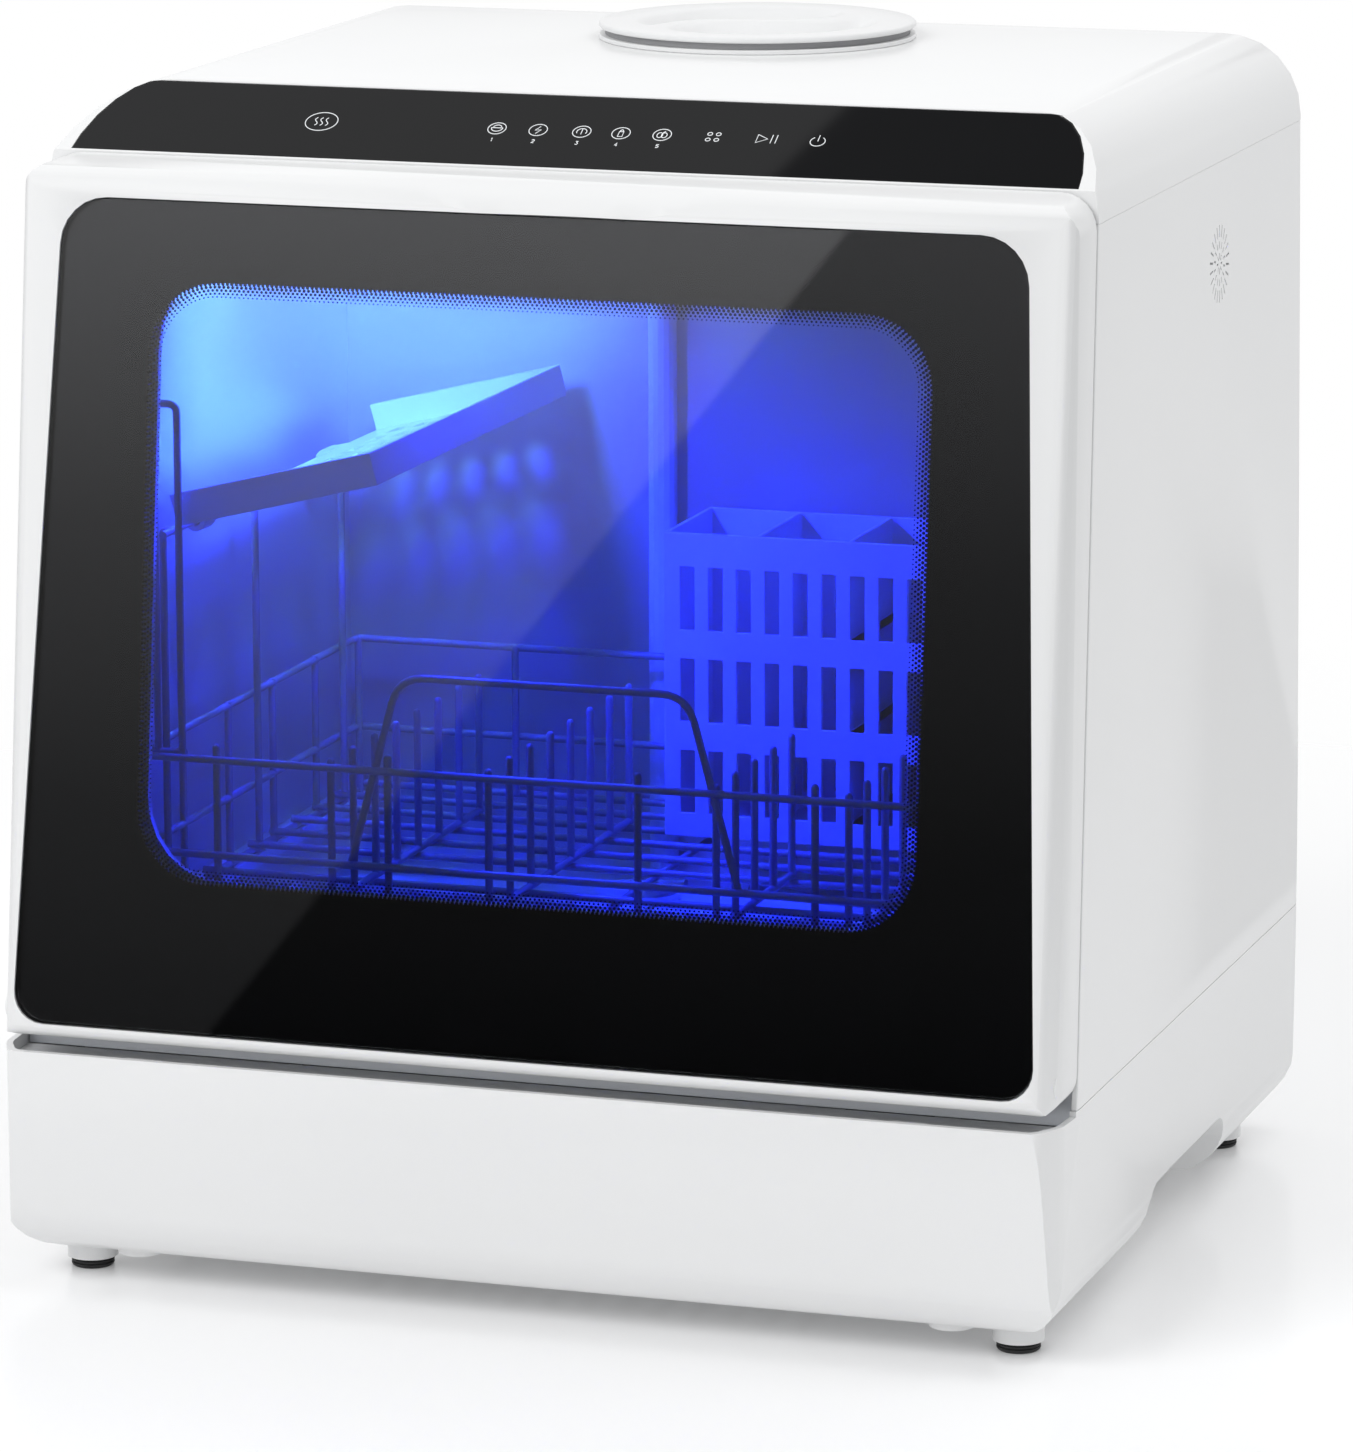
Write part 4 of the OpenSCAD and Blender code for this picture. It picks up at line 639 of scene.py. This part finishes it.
def makeFloor():
    bm = bmesh.new()
    bmesh.ops.create_circle(bm, cap_ends=True, radius=stand["radius"], segments=stand["segments"])
    obj = bpy.data.objects.new("floor", meshOf("floor", bm))
    bpy.context.collection.objects.link(obj)
    m, tree, shader = newMaterial("floorMatt")
    place = add(tree, "ShaderNodeTexCoord")
    far = add(tree, "ShaderNodeVectorMath", operation="LENGTH")
    fade = ranged(tree, *stand["fade"], 1, 0)
    fade.interpolation_type = "SMOOTHSTEP"
    tree.links.new(place.outputs["Object"], far.inputs[0])
    tree.links.new(far.outputs["Value"], fade.inputs["Value"])
    tree.links.new(fade.outputs["Result"], shader.inputs["Alpha"])
    shader.inputs["Base Color"].default_value = stand["colour"]
    shader.inputs["Roughness"].default_value = stand["rough"]
    shader.inputs["Emission Color"].default_value = (1, 1, 1, 1)
    shader.inputs["Emission Strength"].default_value = stand["glow"]
    obj.data.materials.append(m)


makeFloor()


# World light: white to the camera, soft white for the shading. Reflections see a graded studio wall in front of the door,
# with a slanting edge for the door glass and one for the control panel, and an even bright wall behind the object.
wallLight = {"grades": [(0.0, 0.02), (0.477, 0.03), (0.4928, 0.09), (0.511, 0.25), (0.533, 0.64), (0.56, 0.95), (0.75, 0.8),
                        (0.9, 0.13), (1.0, 0.1)],
             "behind": (0.5, 0.75), "behindColour": (0.92, 0.92, 0.925, 1), "soft": (0.6, 0.605, 0.61, 1),
             "edgeWidth": 0.0006, "edgeCone": (0.75, 0.9)}
# Two places on each pane that its bright edge passes through, one on the bright side, and what it does to the level there.
paneEdges = [{"high": (0.118, faceY(0.42), 0.42), "low": (-0.125, faceY(0.107), 0.107), "bright": (-0.15, faceY(0.42), 0.42),
              "lean": math.pi / 2 - casing["lean"], "times": 2.1, "plus": 0.09},
             {"high": (0.098, -0.09, 0.46), "low": (0.084, -0.124, 0.441), "bright": (-0.15, -0.1, 0.45),
              "lean": slopeAngle, "times": 1.0, "plus": 0.29}]


def makeWorld():
    world = bpy.data.worlds.new("studio")
    bpy.context.scene.world = world
    world.use_nodes = True
    tree = world.node_tree
    tree.nodes.clear()
    out = tree.nodes.new("ShaderNodeOutputWorld")
    back = tree.nodes.new("ShaderNodeBackground")
    place = tree.nodes.new("ShaderNodeTexCoord")
    rays = tree.nodes.new("ShaderNodeLightPath")
    parts = tree.nodes.new("ShaderNodeSeparateXYZ")
    ramp = add(tree, "ShaderNodeValToRGB")
    ramp.color_ramp.interpolation = "LINEAR"
    stops = wallLight["grades"]
    ramp.color_ramp.elements[0].position, ramp.color_ramp.elements[1].position = stops[0][0], stops[-1][0]
    for position, level in stops[1:-1]:
        ramp.color_ramp.elements.new(position)
    for element, (position, level) in zip(ramp.color_ramp.elements, stops):
        element.color = (level, level, level, 1)
    lift = ranged(tree, -1, 1, 0, 1)
    tree.links.new(place.outputs["Generated"], parts.inputs[0])
    tree.links.new(parts.outputs["Z"], lift.inputs["Value"])
    tree.links.new(lift.outputs["Result"], ramp.inputs["Fac"])
    level = ramp.outputs["Color"]
    for edge in paneEdges:
        normal = (0, -math.sin(edge["lean"]), math.cos(edge["lean"]))
        first, second, side = (mirrored(edge[k], normal) for k in ("high", "low", "bright"))
        across = first.cross(second).normalized()
        if across.dot(side) < 0:
            across = -across
        reach = add(tree, "ShaderNodeVectorMath", operation="DOT_PRODUCT")
        reach.inputs[1].default_value = across
        near = add(tree, "ShaderNodeVectorMath", operation="DOT_PRODUCT")
        near.inputs[1].default_value = (first + second).normalized()
        sharp = ranged(tree, -wallLight["edgeWidth"], wallLight["edgeWidth"], 0, 1)
        cone = ranged(tree, *wallLight["edgeCone"], 0, 1)
        mask = add(tree, "ShaderNodeMath", operation="MULTIPLY")
        times = add(tree, "ShaderNodeMath", operation="MULTIPLY_ADD")
        times.inputs[1].default_value, times.inputs[2].default_value = edge["times"] - 1, 1
        plus = add(tree, "ShaderNodeMath", operation="MULTIPLY")
        plus.inputs[1].default_value = edge["plus"]
        total = add(tree, "ShaderNodeMath", operation="MULTIPLY_ADD")
        tree.links.new(place.outputs["Generated"], reach.inputs[0])
        tree.links.new(place.outputs["Generated"], near.inputs[0])
        tree.links.new(reach.outputs["Value"], sharp.inputs["Value"])
        tree.links.new(near.outputs["Value"], cone.inputs["Value"])
        tree.links.new(sharp.outputs["Result"], mask.inputs[0])
        tree.links.new(cone.outputs["Result"], mask.inputs[1])
        tree.links.new(mask.outputs["Value"], times.inputs[0])
        tree.links.new(mask.outputs["Value"], plus.inputs[0])
        tree.links.new(level, total.inputs[0])
        tree.links.new(times.outputs["Value"], total.inputs[1])
        tree.links.new(plus.outputs["Value"], total.inputs[2])
        level = total.outputs["Value"]
    behind = ranged(tree, *wallLight["behind"], 0, 1)
    wall = add(tree, "ShaderNodeMix", data_type="RGBA")
    wall.inputs[7].default_value = wallLight["behindColour"]
    tree.links.new(parts.outputs["Y"], behind.inputs["Value"])
    tree.links.new(behind.outputs["Result"], wall.inputs["Factor"])
    tree.links.new(level, wall.inputs[6])
    soft = add(tree, "ShaderNodeMix", data_type="RGBA")
    soft.inputs[6].default_value = wallLight["soft"]
    seen = add(tree, "ShaderNodeMath", operation="MAXIMUM")
    tree.links.new(rays.outputs["Is Glossy Ray"], seen.inputs[0])
    tree.links.new(rays.outputs["Is Transmission Ray"], seen.inputs[1])
    tree.links.new(seen.outputs["Value"], soft.inputs["Factor"])
    tree.links.new(wall.outputs[2], soft.inputs[7])
    final = add(tree, "ShaderNodeMix", data_type="RGBA")
    final.inputs[7].default_value = (1, 1, 1, 1)
    tree.links.new(rays.outputs["Is Camera Ray"], final.inputs["Factor"])
    tree.links.new(soft.outputs[2], final.inputs[6])
    tree.links.new(final.outputs[2], back.inputs["Color"])
    tree.links.new(back.outputs[0], out.inputs[0])


makeWorld()


def addLight(name, kind, place, target, size, energy, colour=(1, 1, 1), glossy=True):
    lamp = bpy.data.lights.new(name, kind)
    lamp.energy, lamp.color = energy, colour
    if kind == "AREA":
        lamp.shape, lamp.size = "DISK", size
    else:
        lamp.spot_size, lamp.spot_blend, lamp.shadow_soft_size = size, 1.0, 0.012
    obj = bpy.data.objects.new(name, lamp)
    obj.location = place
    obj.rotation_euler = (Vector(target) - Vector(place)).to_track_quat("-Z", "Y").to_euler()
    obj.visible_glossy = glossy
    obj.visible_camera = False
    obj.visible_transmission = False
    bpy.context.collection.objects.link(obj)


addLight("keyLight", "AREA", (-1.0, -1.9, 1.9), (0, 0, 0.2), 1.6, 28, glossy=False)
addLight("topLight", "AREA", (0.3, 0.4, 2.2), (0, 0, 0.3), 1.6, 9, glossy=False)
addLight("sideLight", "AREA", (1.6, 0.3, 2.4), (0, 0, 0.4), 1.2, 8, glossy=False)
addLight("tubBlue", "SPOT", (-0.1, -0.06, 0.408), (-0.08, 0.03, 0.1), math.radians(150), 20, (0.015, 0.03, 1.0))
addLight("tubCyan", "SPOT", (-0.09, -0.07, 0.4), (-0.19, 0.03, 0.36), math.radians(120), 6, (0.3, 0.75, 1.0))
print("lights placed")

bpy.context.scene.view_settings.view_transform = "Standard"
